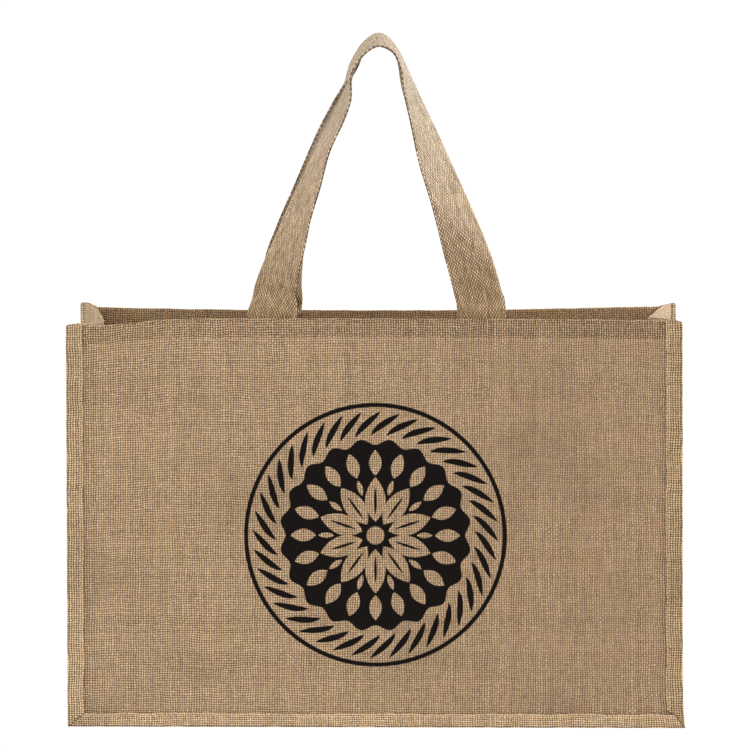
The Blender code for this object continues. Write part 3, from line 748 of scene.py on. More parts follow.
front_panel = panel("front_cloth", -1, [front_cloth, inside_shade_cloth])
back_panel = panel("back_cloth", 1, [plain_cloth, inside_shade_cloth])

# %% [markdown]
# ## The gusset
# One strip makes the left side, the bottom and the right side.  Its long edges are turned
# outwards to meet the panels' edges, its sides are creased inwards halfway, as the bag was
# folded flat when new, and its ends are hemmed.  It could be cut as three pieces, but one strip
# is how it is sewn: here a section, from one flange's edge through the crease to the other, is
# carried along rings that run down one side, along the bottom and up the other side.

# %% gusset sizes
FLOOR_HEIGHT, FLOOR_SAG, CORNER_RADIUS = 11.6, 4.0, 5.0
CREASE_RISE, BEND_TO_HEM = 0.7, 0.5
SLACK, SLACK_ALONG, SLACK_ACROSS, RIM_ROUNDING = 0.5, 38.0, 24.0, 1.2
# The section's first entries are the flange, and from the sixth on the end is hemmed
FLANGE_ENTRIES, FIRST_HEMMED_ENTRY = 4, 6
# At the mouth, for places from the seam to the crease: how far the wall is folded inwards, and
# how much its edge rises at each quarter of the mouth
CreaseRow = namedtuple("CreaseRow", "depth inward front_left front_right back_left back_right")
CREASE_ROWS = (
    CreaseRow(BEND_CENTRE, 0.0, 0.0, 0.0, 0.0, 0.0),
    CreaseRow(80.0, -9.7, 1.4, 0.1, 4.1, 2.8),
    CreaseRow(68.0, -5.5, 0.2, -0.4, 3.8, 2.5),
    CreaseRow(48.0, 0.3, -0.8, -1.0, 2.1, 0.9),
    CreaseRow(26.0, 4.4, -1.6, -1.7, -0.3, -1.7),
    CreaseRow(14.0, 6.4, -2.0, -2.2, -1.6, -2.4),
    CreaseRow(6.0, 7.4, -2.4, -2.6, -2.3, -2.7),
    CreaseRow(0.0, 7.6, -2.6, -2.7, -2.6, -2.7),
)
GussetRing = namedtuple("GussetRing", "x z edge_x edge_z in_x in_z level run")
print("the sides are creased in by", CREASE_ROWS[-1].inward, "mm at the mouth")

# %% gusset rings and section


def gusset_rings():
    """The gusset's rings from the left mouth round the bottom to the right mouth."""
    levels = [RIM_HEIGHT, RIM_HEIGHT - 0.4, RIM_HEIGHT - RIM_ROUNDING]
    levels += between(RIM_HEIGHT - 4.0, HEM_FOOT + 3.0, 3) + [HEM_FOOT, HEM_FOOT - HEM_STEP]
    levels += between(HEM_FOOT - 5.0, FLOOR_HEIGHT + CORNER_RADIUS, 50)
    left = [GussetRing(-WALL_LINE, z, -CLOTH_EDGE, z, 1.0, 0.0, z, 0.0) for z in levels]
    diagonal = math.sqrt(0.5)
    cut = CORNER_RADIUS * (1.0 - diagonal)
    corner = GussetRing(
        -WALL_LINE + cut, FLOOR_HEIGHT + cut, -CLOTH_EDGE, CLOTH_FOOT,
        diagonal, diagonal, 0.0, 0.0,
    )
    floor_end = WALL_LINE - CORNER_RADIUS
    floor = [
        GussetRing(x, FLOOR_HEIGHT, x, CLOTH_FOOT, 0.0, 1.0, 0.0, 0.0)
        for x in between(-floor_end, floor_end, 70)
    ]
    first_half = left + [corner]
    second_half = [
        r._replace(x=-r.x, edge_x=-r.edge_x, in_x=-r.in_x) for r in reversed(first_half)
    ]
    rings = first_half + floor + second_half
    run = [0.0]
    for a, b in zip(rings, rings[1:]):
        run.append(run[-1] + math.hypot(b.x - a.x, b.z - a.z))
    return [ring._replace(run=s) for ring, s in zip(rings, run)]


def gusset_section():
    """Half of the section, from the flange's edge to the crease: (outward, depth) of both faces."""
    diagonal = math.sqrt(0.5)
    outer_cut = BEND_RADIUS * (1.0 - diagonal)
    inner_cut = BEND_RADIUS - (BEND_RADIUS + CLOTH) * diagonal
    hem_start = BEND_CENTRE - BEND_TO_HEM
    section = [
        ((FLANGE, FLANGE_BACK), (FLANGE, FLANGE_FACE)),
        ((FLANGE / 2, FLANGE_BACK), (FLANGE / 2, FLANGE_FACE)),
        ((BEND_RADIUS, FLANGE_BACK), (BEND_RADIUS, FLANGE_FACE)),
        ((outer_cut, FLANGE_BACK - outer_cut), (inner_cut, FLANGE_BACK - inner_cut)),
        ((0.0, BEND_CENTRE), (-CLOTH, BEND_CENTRE)),
        ((0.0, hem_start), (-CLOTH, hem_start)),
    ]
    for depth in [hem_start - HEM_STEP, 82.4] + between(80.0, 4.0, 19) + [2.0, 0.0]:
        section.append(((0.0, depth), (-CLOTH, depth)))
    return section


print("gusset:", len(gusset_rings()), "rings of", 2 * len(gusset_section()) - 1, "points")

# %% gusset


def crease_at(depth):
    """The values of the crease rows at a depth."""
    for start, end in zip(CREASE_ROWS, CREASE_ROWS[1:]):
        if depth >= end.depth:
            share = (start.depth - depth) / (start.depth - end.depth)
            return CreaseRow(*(mixed(a, b, share) for a, b in zip(start, end)))
    return CREASE_ROWS[-1]


def crease_and_drop(ring, side, depth):
    """How far inwards and downwards the gusset's wall lies at a depth, or its floor."""
    span = 1.0 - depth / BEND_CENTRE
    if ring.level == 0.0:
        return 0.0, FLOOR_SAG * span * (1.0 - (ring.x / WALL_LINE) ** 2)
    rise = ring.level / RIM_HEIGHT
    row = crease_at(depth)
    if side == -1:
        mouth_rise = row.front_left if ring.x < 0.0 else row.front_right
    else:
        mouth_rise = row.back_left if ring.x < 0.0 else row.back_right
    slack = noise.noise(Vector((ring.run / SLACK_ALONG, side * depth / SLACK_ACROSS, 2.0)))
    slack *= SLACK * smooth(span * 8.0) * smooth(ring.level / 40.0)
    return row.inward * rise**CREASE_RISE + slack, -mouth_rise * rise**MOUTH_RISE


def gusset_point(ring, outward, depth, top_drop):
    """Places a point of the gusset's section on a ring."""
    if outward > 0.0:
        share = outward / FLANGE
        z = mixed(ring.z, ring.edge_z, share)
        return mixed(ring.x, ring.edge_x, share), depth, z - top_drop
    return ring.x - ring.in_x * outward, depth, ring.z - ring.in_z * outward - top_drop


def gusset(name, finishes):
    """The whole strip: each ring's section runs from the front flange to the back one."""
    half = list(enumerate(gusset_section()))
    outside, inside, lay = [], [], []
    for ring in gusset_rings():
        flange_drop = SEAM_LOWER * (ring.level / RIM_HEIGHT) ** MOUTH_RISE
        to_rim = (RIM_HEIGHT - ring.level) / RIM_ROUNDING
        rows = ([], [], [])
        for side in (-1, 1):
            for i, ((out_a, out_depth), (in_a, in_depth)) in half if side == -1 else half[-2::-1]:
                on_wall = i >= FLANGE_ENTRIES
                crease, drop = 0.0, flange_drop
                if on_wall:
                    crease, drop = crease_and_drop(ring, side, out_depth)
                hemmed = ring.level >= HEM_FOOT and i >= FIRST_HEMMED_ENTRY
                turn = HEM_TURN if hemmed else 0.0
                near_rim = max(0.0, 1.0 - to_rim) if on_wall else 0.0
                pinch = near_rim**2 * (CLOTH + turn) * RIM_PINCH
                outer, inner = out_a - crease - pinch, in_a - crease - turn + pinch
                rows[0].append(gusset_point(ring, outer, side * out_depth, drop))
                rows[1].append(gusset_point(ring, inner, side * in_depth, drop))
                rows[2].append((side * (out_depth + out_a), ring.run))
        for grid, row in zip((outside, inside, lay), rows):
            grid.append(row)
    return cloth_piece(name, outside, inside, lay, finishes, inner=1)


gusset_cloth = gusset("gusset_cloth", [side_cloth, inside_shade_cloth])

# %% [markdown]
# ## The bindings
# A strip of the same burlap is folded round the raw edges of each seam and stitched through.
# Between its fold and its stitches the strip is slightly plump.  At the two bottom corners it
# is folded over itself, so the bottom run laps over the side run along a slanting line.  The
# narrow faces of the step there are painted dark, as painted shade.  A binding could be a swept
# profile. Here it is a grid of lines along
# its run instead, because then the laps can lift and the ends can be cut unevenly.

# %% binding sizes
HIDDEN_LEG_SHORTER, BINDING_STITCH, ROUNDED_END = 3.0, 1.9, 1.9
PLUMP, EDGE_PLUMP = 0.45, 0.10
FOLD_STEPS, FOLD_REACH, FOLD_INNER_REACH, FOLD_RUN = 6, 1.3, 0.35, 2.6
LAP_LIFT, RIGHT_LAP_LIFT, LAP_REACH, LAP_STEP, LAP_SLANT = 0.9, 1.6, 34.0, 0.7, 0.62
# The columns of the grid at which the left and the right lap step up
LEFT_LAP, RIGHT_LAP = 69, 170
# The lines of the visible face, as shares of its width from the fold
LINE_SHARES = (
    1.0, 0.93, 1.0 - BINDING_STITCH / BINDING_SIDE, 0.76, 0.62, 0.5, 0.38, 0.27, 0.18, 0.12,
)
CORNER_TOP, CORNER_SHARES = 24.0, (0.75, 0.5, 0.25)
BindingLine = namedtuple("BindingLine", "side bottom depth plump place")
BindingTop = namedtuple(
    "BindingTop", "left_outer left_middle left_inner right_inner right_middle right_outer"
)
FRONT_TOP = BindingTop(302.9, 303.9, 304.7, 302.6, 302.4, 301.0)
BACK_TOP = BindingTop(305.2, 305.0, 302.6, 302.1, 303.4, 304.4)
print("the binding's visible face has", len(LINE_SHARES), "lines")

# %% binding lines


def binding_lines():
    """The lines of both faces, from the visible edge round the fold to the hidden edge."""
    outer, inner = [], []

    def leg(side_reach, bottom_reach, share, depth, inner_depth, place, facing):
        stitched = BINDING_STITCH / side_reach
        if share < 1.0 - stitched:
            plump = max(PLUMP * math.sin(math.pi * min(1.0, share / (1.0 - stitched))), 0.0)
        else:
            plump = EDGE_PLUMP * math.sin(math.pi * (1.0 - share) / stitched)
        side, bottom = side_reach * share, bottom_reach * share
        outer.append(BindingLine(side, bottom, depth, facing * plump, place))
        reach = max(share, (TAPE + 0.2) / side_reach)
        side, bottom = side_reach * reach, bottom_reach * reach
        inner.append(BindingLine(side, bottom, inner_depth, 0.0, place))

    for share in LINE_SHARES:
        place = -BINDING_SIDE * share
        leg(BINDING_SIDE, BINDING_BOTTOM, share, BINDING_FACE, BINDING_FACE - TAPE, place, 1.0)
    half = (BINDING_FACE - BINDING_BACK) / 2
    centre = BINDING_FACE - half
    for k in range(FOLD_STEPS + 1):
        angle = math.pi * (0.5 - k / FOLD_STEPS)
        place = FOLD_RUN * (0.5 - angle / math.pi)
        reach = FOLD_REACH * (1.0 - math.cos(angle))
        outer.append(BindingLine(reach, reach, centre + half * math.sin(angle), 0.0, place))
        reach = TAPE + FOLD_INNER_REACH * (1.0 - math.cos(angle))
        depth = centre + (half - TAPE) * math.sin(angle)
        inner.append(BindingLine(reach, reach, depth, 0.0, place))
    hidden_side = BINDING_SIDE - HIDDEN_LEG_SHORTER
    hidden_bottom = BINDING_BOTTOM - HIDDEN_LEG_SHORTER
    for share in LINE_SHARES[::-1]:
        place, depth = FOLD_RUN + hidden_side * share, BINDING_BACK
        leg(hidden_side, hidden_bottom, share, depth, depth + TAPE, place, -1.0)
    return outer, inner


def binding_end(outer, middle, inner, line):
    """The height of a binding's end on one of its lines; its outer corner is rounded."""
    inward = line.side / BINDING_SIDE
    if inward < 0.5:
        height = mixed(outer, middle, inward * 2.0)
    else:
        height = mixed(middle, inner, inward * 2.0 - 1.0)
    sharp = max(0.0, 1.0 - line.side / ROUNDED_END)
    return height - ROUNDED_END * (1.0 - math.sqrt(1.0 - sharp * sharp))


print("a binding has", len(binding_lines()[0]), "lines on each face")

# %% binding


def binding_path(line, side, tops):
    """One line of a binding: down the left side, along the bottom and up the right side."""
    left = -HALF_WIDTH + line.side
    left_top = binding_end(tops.left_outer, tops.left_middle, tops.left_inner, line)
    right_top = binding_end(tops.right_outer, tops.right_middle, tops.right_inner, line)
    visible = 1.0 if line.depth > (BINDING_FACE + BINDING_BACK) / 2 else -1.0
    depth = line.depth + line.plump
    heights = between(RIM_HEIGHT - 3.0, CORNER_TOP, 64)
    near = [mixed(line.bottom, CORNER_TOP, share) for share in CORNER_SHARES]
    path = [(left, depth, z) for z in [left_top] + heights + near + [line.bottom]]
    reach = HALF_WIDTH - BINDING_SIDE - LAP_REACH
    corner_x = HALF_WIDTH - LAP_SLANT * line.bottom if visible > 0 else -left
    bottom = between(left + LAP_STEP, -reach, 10) + between(-reach, reach, 80)[1:-1]
    bottom += between(reach, corner_x - LAP_STEP, 10)
    path += [(x, depth, line.bottom) for x in bottom] + [(corner_x, depth, line.bottom)]
    path += [(-left, depth, z) for z in near[::-1] + heights[::-1] + [right_top]]
    made = []
    for k, (x, y, z) in enumerate(path):
        lap = 0.0
        if LEFT_LAP < k <= RIGHT_LAP:
            from_corner = (corner_x if x > 0 else -left) - abs(x)
            lift = RIGHT_LAP_LIFT if x > 0 else LAP_LIFT
            lap = lift * (1.0 - smooth(max(0.0, from_corner) / LAP_REACH))
            lap *= min(1.0, line.bottom / 2.0)
        made.append((x, side * (y + visible * lap), z))
    return made


def binding_lay(line, row):
    """Places along the strip: the height plus a start of its own on each side, x on the bottom."""
    left_end = next(k for k, p in enumerate(row) if p[2] == row[k + 1][2] == line.bottom) + 1
    right_end = len(row) - left_end
    lay = []
    for k, p in enumerate(row):
        along = (LEFT_RUN if k < left_end else RIGHT_RUN) + p[2]
        lay.append((line.place, p[0] if left_end <= k < right_end else along))
    return lay


def binding(name, side, tops, finishes):
    """A whole binding; the narrow faces where its laps step up get the second finish, painted
    shade.
    """
    outer, inner = binding_lines()
    outside = [binding_path(line, side, tops) for line in outer]
    low, high = BINDING_BACK + TAPE - 1.2, BINDING_FACE - TAPE + 1.2
    inside = [
        [(x, side * min(max(abs(y), low), high), z) for x, y, z in binding_path(line, side, tops)]
        for line in inner
    ]
    lay = [binding_lay(line, row) for line, row in zip(outer, outside)]
    made = cloth_piece(name, outside, inside, lay, finishes)
    for row in range(len(LINE_SHARES) - 1):
        for column in (LEFT_LAP, RIGHT_LAP):
            made.data.polygons[row * (len(outside[0]) - 1) + column].material_index = 1
    return made


front_binding = binding("front_edge_binding", -1, FRONT_TOP, [tape_cloth, lap_shade_cloth])
back_binding = binding("back_edge_binding", 1, BACK_TOP, [tape_cloth, lap_shade_cloth])

# %% [markdown]
# ## The handles
# Each handle is one strap.  Its ends lie flat inside the hem, and each leg makes a quarter turn
# on its way up, so that at the top the strap lies flat over a hand.  The rows below give the
# middle line of the front strap and how far it has turned.  The back handle leans against the
# front one, so it is the same strap, shifted a little where the two meet.

# %% handle rows
STRAP_WIDTH, SEWN_WIDTH, FOOT_LOW = 38.0, 36.8, 280.0
HandleRow = namedtuple("HandleRow", "across out height turn")
HANDLE_ROWS = [
    HandleRow(-77.5, STRAP_LINE, FOOT_LOW, 0.0),
    HandleRow(-76.4, STRAP_LINE, RIM_HEIGHT, 0.0),
    HandleRow(-75.4, 84.6, 307.0, 12.0),
    HandleRow(-74.6, 78.6, 313.0, 22.0),
    HandleRow(-74.4, 73.0, 320.0, 32.3),
    HandleRow(-70.1, 66.0, 340.0, 42.2),
    HandleRow(-63.2, 58.0, 361.0, 52.3),
    HandleRow(-58.0, 52.5, 378.0, 59.6),
    HandleRow(-48.1, 44.0, 404.0, 67.0),
    HandleRow(-37.2, 36.0, 433.0, 75.6),
    HandleRow(-28.1, 31.0, 452.0, 76.4),
    HandleRow(-22.3, 28.0, 466.0, 79.5),
    HandleRow(-18.3, 24.0, 484.0, 90.6),
    HandleRow(-9.5, 20.5, 500.5, 86.0),
    HandleRow(2.0, 19.7, 506.5, 86.0),
    HandleRow(13.6, 20.5, 501.0, 87.0),
    HandleRow(19.7, 24.0, 489.0, 85.4),
    HandleRow(25.2, 28.0, 471.0, 77.1),
    HandleRow(33.6, 34.0, 447.0, 67.3),
    HandleRow(43.0, 40.5, 420.0, 56.1),
    HandleRow(53.9, 48.5, 391.0, 47.8),
    HandleRow(64.7, 58.0, 361.0, 34.7),
    HandleRow(73.0, 67.0, 335.0, 25.7),
    HandleRow(76.9, 73.5, 320.0, 25.4),
    HandleRow(78.7, 78.6, 313.0, 21.7),
    HandleRow(79.3, 84.8, 307.0, 3.6),
    HandleRow(79.5, STRAP_LINE, RIM_HEIGHT, 0.0),
    HandleRow(79.5, STRAP_LINE, FOOT_LOW, 0.0),
]
# How far the back handle is shifted sideways, on its left and its right leg
ShiftRow = namedtuple("ShiftRow", "height left right")
SHIFT_ROWS = [
    ShiftRow(RIM_HEIGHT, 0.0, 0.0),
    ShiftRow(320.0, 0.6, -1.6),
    ShiftRow(340.0, -1.2, -3.0),
    ShiftRow(365.0, -2.8, -3.4),
    ShiftRow(395.0, -3.4, -3.0),
    ShiftRow(420.0, -5.8, -2.5),
    ShiftRow(450.0, -5.8, -2.4),
    ShiftRow(470.0, -3.8, -2.7),
    ShiftRow(485.0, 0.4, -3.0),
    ShiftRow(498.0, 0.6, -1.8),
    ShiftRow(512.0, -0.6, -0.6),
]
BACK_HANDLE_LIFT, BACK_HANDLE_TURN = 3.0, 8.0
MEETING_START, MEETING_REACH, HIDDEN_REACH = 340.0, 110.0, 24.0
strap_top = max(row.height for row in HANDLE_ROWS)
print("the front strap has", len(HANDLE_ROWS), "rows and rises to", strap_top, "mm")

# %% handle curves
RINGS_PER_ROW = 6


def slope_at(before, here, after):
    """The slope of a curve that never overshoots its rows."""
    step_in, step_out = here - before, after - here
    if step_in * step_out <= 0.0:
        return 0.0
    return 2.0 * step_in * step_out / (step_in + step_out)


def curve_through(rows, rings):
    """More rows on a smooth curve through the given ones, rings for each step."""
    fine = []
    for i in range(len(rows) - 1):
        before, after = rows[max(i - 1, 0)], rows[min(i + 2, len(rows) - 1)]
        for k in range(rings):
            t = k / rings
            values = []
            for p, q, r, s in zip(before, rows[i], rows[i + 1], after):
                leaving = slope_at(p, q, r) * t * (1.0 - t) ** 2
                arriving = slope_at(q, r, s) * t**2 * (1.0 - t)
                values.append(q + (r - q) * smooth(t) + leaving - arriving)
            fine.append(HandleRow(*values))
    return fine + [rows[-1]]


def back_handle_row(row):
    """A row of the back handle, worked out from the front handle's."""
    meeting = 1.0 - smooth(row.across / HIDDEN_REACH)
    meeting *= smooth((row.height - MEETING_START) / MEETING_REACH)
    shift = 0.0
    for low, high in zip(SHIFT_ROWS, SHIFT_ROWS[1:]):
        if low.height <= row.height <= high.height:
            share = (row.height - low.height) / (high.height - low.height)
            left, right = mixed(low.left, high.left, share), mixed(low.right, high.right, share)
            shift = left if row.across < 0.0 else right
    lift, turn = BACK_HANDLE_LIFT * meeting, BACK_HANDLE_TURN * meeting
    return HandleRow(row.across + shift, row.out, row.height + lift, row.turn + turn)


front_rings = curve_through(HANDLE_ROWS, RINGS_PER_ROW)
back_rings = curve_through([back_handle_row(row) for row in HANDLE_ROWS], RINGS_PER_ROW)
print("rings of a strap:", len(front_rings))

# %% [markdown]
# The front handle's right leg does not turn evenly.  A soft fold runs slantwise across it, from
# its inner edge to its outer edge.  Below the fold the strap faces more to the front, above it
# more to the side.  The strap's width stays what it is, so the fold is found by walking across
# it in small steps, each in the direction that the cloth has there.

# %% strap fold
STRAP_LINES = [-0.5, -0.49, -0.465] + between(-0.43, 0.43, 18) + [0.465, 0.49, 0.5]
STRAP_EDGE = {0.5: 0.25, 0.49: 0.62, 0.465: 0.88}
FOLD_BELOW, FOLD_ABOVE, FOLD_SOFTNESS, FOLD_WALK = 22.0, 49.0, 0.10, 100


def fold_shape(turn):
    """For each of the strap's lines its place across and out, on a folded strap of width 1."""
    flat, full = math.cos(math.radians(FOLD_BELOW)), math.cos(math.radians(FOLD_ABOVE))
    crossed = (math.cos(math.radians(turn)) - full) / (flat - full)
    shape, across, out = [], 0.0, 0.0
    for k in range(FOLD_WALK + 1):
        shape.append((across, out))
        here = (k + 0.5) / FOLD_WALK
        folded = smooth(0.5 + (here - 1.0 + crossed) / FOLD_SOFTNESS)
        bend = math.radians(mixed(FOLD_ABOVE, FOLD_BELOW, folded))
        across += math.cos(bend) / FOLD_WALK
        out += math.sin(bend) / FOLD_WALK
    middle = (shape[-1][0] / 2, shape[-1][1] / 2)
    on_lines = [shape[round((line + 0.5) * FOLD_WALK)] for line in STRAP_LINES]
    return [(x - middle[0], y - middle[1]) for x, y in on_lines]


print("a folded strap is", round(2 * fold_shape(35.0)[-1][0], 3), "of its width across")

# %% handles
EDGE_WOBBLE, WOBBLE_ALONG, CUP, CUP_ALONG = 0.22, 21.0, 0.5, 34.0
WOBBLE_FROM, FREE_FROM, FREE_OVER = 0.4, 2.0, 20.0


def strap_frame(rings, i):
    """Directions across the strap and out of its face at a ring."""
    before, after = rings[max(i - 1, 0)], rings[min(i + 1, len(rings) - 1)]
    along_x, along_z = after.across - before.across, after.height - before.height
    length = math.hypot(along_x, along_z)
    along_x, along_z = along_x / length, along_z / length
    turn = math.radians(rings[i].turn)
    wide = (math.cos(turn) * along_z, math.sin(turn), -math.cos(turn) * along_x)
    face = (-math.sin(turn) * along_z, math.cos(turn), math.sin(turn) * along_x)
    return wide, face


def handle(name, side, rings, finishes):
    """A strap along its rings; side is -1 at the front and 1 at the back."""
    run = run_lengths([(r.across, r.out, r.height) for r in rings])
    outside, inside, lay = [], [], []
    for i, ring in enumerate(rings):
        wide, face = strap_frame(rings, i)
        free = smooth((ring.height - RIM_HEIGHT - FREE_FROM) / FREE_OVER)
        width = mixed(SEWN_WIDTH, STRAP_WIDTH, free)
        middle = (ring.across, ring.out, ring.height)
        on_folded_leg = side == -1 and ring.across > 0.0
        fold = None
        if on_folded_leg and FOLD_BELOW < ring.turn < FOLD_ABOVE:
            fold = fold_shape(ring.turn)
        rows_here = ([], [], [])
        for k, share in enumerate(STRAP_LINES):
            half = STRAP / 2 * STRAP_EDGE.get(abs(share), 1.0)
            edge = Vector((run[i] / WOBBLE_ALONG, side * 3.0, math.copysign(1.0, share)))
            wobble = EDGE_WOBBLE * free * noise.noise(edge)
            wobble *= 1.0 if abs(share) > WOBBLE_FROM else 0.0
            cup = CUP * free
            cup *= noise.noise(Vector((run[i] / CUP_ALONG, share * 2.0, side * 7.0)))
            reach = share * width + wobble
            centre = [c + w * reach + n * cup for c, w, n in zip(middle, wide, face)]
            if fold:
                across, out = fold[k]
                slide = (across * width + wobble) / math.cos(math.radians(ring.turn))
                centre = [
                    middle[0] + wide[0] * slide + face[0] * cup,
                    middle[1] + out * width + face[1] * cup,
                    middle[2] + wide[2] * slide + face[2] * cup,
                ]
            for grid, sign in zip(rows_here, (1.0, -1.0)):
                p = [c + n * half * sign for c, n in zip(centre, face)]
                grid.append((p[0], side * p[1], p[2]))
            rows_here[2].append((share * STRAP_WIDTH, run[i]))
        for grid, row in zip((outside, inside, lay), rows_here):
            grid.append(row)
    print(name, "cut length", round(run[-1]), "mm")
    return cloth_piece(name, outside, inside, lay, finishes)


front_handle = handle("front_strap", -1, front_rings, [strap_cloth])
back_handle = handle("back_strap", 1, back_rings, [strap_cloth])

# %% [markdown]
# ## Stitches
# Lockstitches show as short plump dashes of thread, each pulled down a little at both ends.
# They run along the foot of the hems and along the inner edge of the bindings, and the feet of
# the straps are sewn with a box and a cross.  A stitch is a small six-sided spindle, made once
# as a profile and set along each run.

# %% stitch mesh
STITCH_LENGTH, STITCH_GAP, STITCH_RADIUS, STITCH_SIDES, STITCH_FLAT = 3.1, 0.9, 0.28, 6, 0.7
# Along a stitch: where, how thick and how high, in lengths and radii
STITCH_PROFILE = (
    (0.0, 0.15, -0.35), (0.2, 0.85, 0.05), (0.5, 1.0, 0.2), (0.8, 0.85, 0.05), (1.0, 0.15, -0.35),
)


def spindle_faces(first):
    """The faces of one stitch whose points start at a number."""
    rings, sides = len(STITCH_PROFILE), STITCH_SIDES
    faces = []
    for r in range(rings - 1):
        for j in range(sides):
            a = first + r * sides + j
            b = first + r * sides + (j + 1) % sides
            faces.append((a, b, b + sides, a + sides))
    faces.append(tuple(first + j for j in range(sides))[::-1])
    faces.append(tuple(first + (rings - 1) * sides + j for j in range(sides)))
    return faces


def stitch_mesh(name, runs):
    """One mesh of stitches along polylines; each run is a list of (place, outward direction)."""
    points, faces = [], []
    for run in runs:
        lengths = run_lengths([place for place, _ in run])
        k = 0
        for n in range(int(lengths[-1] / (STITCH_LENGTH + STITCH_GAP))):
            start = n * (STITCH_LENGTH + STITCH_GAP)
            faces += spindle_faces(len(points))
            for share, fat, lift in STITCH_PROFILE:
                s = start + share * STITCH_LENGTH
                while k < len(run) - 2 and lengths[k + 1] < s:
                    k += 1
                t = (s - lengths[k]) / max(lengths[k + 1] - lengths[k], 1e-6)
                a, b = Vector(run[k][0]), Vector(run[k + 1][0])
                out_a, out_b = Vector(run[k][1]), Vector(run[k + 1][1])
                normal = out_a.lerp(out_b, max(0.0, min(1.0, t))).normalized()
                sideways = (b - a).normalized().cross(normal).normalized()
                centre = a.lerp(b, t) + normal * lift * STITCH_RADIUS
                for j in range(STITCH_SIDES):
                    angle = math.tau * j / STITCH_SIDES
                    offset = sideways * math.cos(angle) + normal * STITCH_FLAT * math.sin(angle)
                    points.append((centre + offset * STITCH_RADIUS * fat) * MM)
            k = max(0, k - 2)
    mesh = bpy.data.meshes.new(name)
    mesh.from_pydata([tuple(p) for p in points], [], faces)
    mesh.materials.append(jute_thread)
    mesh.shade_smooth()
    made = bpy.data.objects.new(name, mesh)
    bpy.context.scene.collection.objects.link(made)
    print(name, len(faces), "faces")
    return made


# %% stitch runs
HIDDEN_STITCH, HEM_STITCH_SINK = 4.6, 0.30
FOOT_CENTRES, FOOT_MARGIN, FOOT_BOX_LOW, FOOT_BOX_HIGH = (-77.4, 79.5), 3.0, 283.0, 297.5


def settled_run(points, outward):
    """A run of stitches from points of the square layout."""
    return [(settle(*p), outward) for p in points]


def hem_runs(side):
    span = between(-210.0, 210.0, 140)
    outer = [(x, side * (PANEL_FACE - HEM_STITCH_SINK), HEM_STITCH) for x in span]
    inner = [(x, side * (HEM_BACK + HEM_STITCH_SINK), HEM_STITCH) for x in span]
    return [settled_run(outer, (0.0, side, 0.0)), settled_run(inner, (0.0, -side, 0.0))]


def binding_runs(side):
    """Stitches down both sides and along the bottom, on the visible and on the hidden face."""
    runs = []
    for from_edge, depth, facing in (
        (BINDING_STITCH, BINDING_FACE + 0.05, 1.0),
        (HIDDEN_STITCH, BINDING_BACK - 0.02, -1.0),
    ):
        x, foot = HALF_WIDTH - (BINDING_SIDE - from_edge), BINDING_BOTTOM - from_edge
        y = side * depth
        outward = (0.0, side * facing, 0.0)
        heights = between(RIM_HEIGHT - 4.0, foot, 90)
        runs.append(settled_run([(-x, y, z) for z in heights], outward))
        runs.append(settled_run([(x, y, z) for z in heights], outward))
        bottom = []
        for s in between(-x, x, 140):
            lap = LAP_LIFT * (1.0 - smooth((x - abs(s)) / LAP_REACH)) * facing
            bottom.append((s, y + side * lap, foot))
        runs.append(settled_run(bottom, outward))
    return runs


def strap_runs(side):
    """The box and the cross that hold each foot of a strap to the hem."""
    runs = []
    low, high = FOOT_BOX_LOW, FOOT_BOX_HIGH
    y = side * (STRAP_LINE - STRAP / 2 - 0.05)
    for centre in FOOT_CENTRES:
        left = centre - STRAP_WIDTH / 2 + FOOT_MARGIN
        right = centre + STRAP_WIDTH / 2 - FOOT_MARGIN
        corners = (left, low), (right, low), (right, high), (left, high)
        for a, b in ((0, 1), (1, 2), (2, 3), (3, 0), (0, 2), (3, 1)):
            (start_x, start_z), (end_x, end_z) = corners[a], corners[b]
            line = [
                (mixed(start_x, end_x, t), y, mixed(start_z, end_z, t))
                for t in between(0.0, 1.0, 12)
            ]
            runs.append(settled_run(line, (0.0, -side, 0.0)))
    return runs


stitches = [
    stitch_mesh("front_stitches", hem_runs(-1) + binding_runs(-1) + strap_runs(-1)),
    stitch_mesh("back_stitches", hem_runs(1) + binding_runs(1) + strap_runs(1)),
]

# %% [markdown]
# ## Put the pieces on the frame
# Every piece stands for its plain solid.

# %% pieces
for piece, node, slot in (
    (front_panel, "front_panel", "burlap"),
    (back_panel, "back_panel", "burlap"),
    (gusset_cloth, "gusset", "burlap"),
    (front_binding, "front_binding", "burlap_tape"),
    (back_binding, "back_binding", "burlap_tape"),
    (front_handle, "front_handle", "jute_webbing"),
    (back_handle, "back_handle", "jute_webbing"),
):
    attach(piece, "root")
    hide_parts(node)
for piece in stitches:
    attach(piece, "root")
print("nine pieces ride on the frame")

# %% [markdown]
# ## The floor
# The bag stands on a white floor that curves up into a white wall far behind it.  Both only
# show white to the camera: they glow evenly and send no light to the bag.  So the room and
# the lamps alone light the bag, and the background is white from every side.

# %% floor
FLOOR_SIZE, WALL_AT, WALL_HEIGHT, BEND, FLOOR_GLOW = 9.0, 7.5, 5.0, 1.2, 1.05
profile = [(-FLOOR_SIZE, 0.0)] + [
    (WALL_AT + BEND * math.sin(a), BEND * (1.0 - math.cos(a)))
    for a in between(0.0, math.pi / 2, 16)
]
profile.append((WALL_AT + BEND, WALL_HEIGHT))
stage_points = [(x, y, z) for x in (-FLOOR_SIZE, FLOOR_SIZE) for y, z in profile]
n = len(profile)
stage_mesh = bpy.data.meshes.new("floor")
stage_mesh.from_pydata(stage_points, [], [(i, i + n, i + n + 1, i + 1) for i in range(n - 1)])
stage_mesh.shade_smooth()
floor = bpy.data.objects.new("floor", stage_mesh)
bpy.context.scene.collection.objects.link(floor)
white = bpy.data.materials.new("white_floor")
white.use_nodes = True
white_shader = white.node_tree.nodes["Principled BSDF"]
white_shader.inputs["Base Color"].default_value = (0.0, 0.0, 0.0, 1.0)
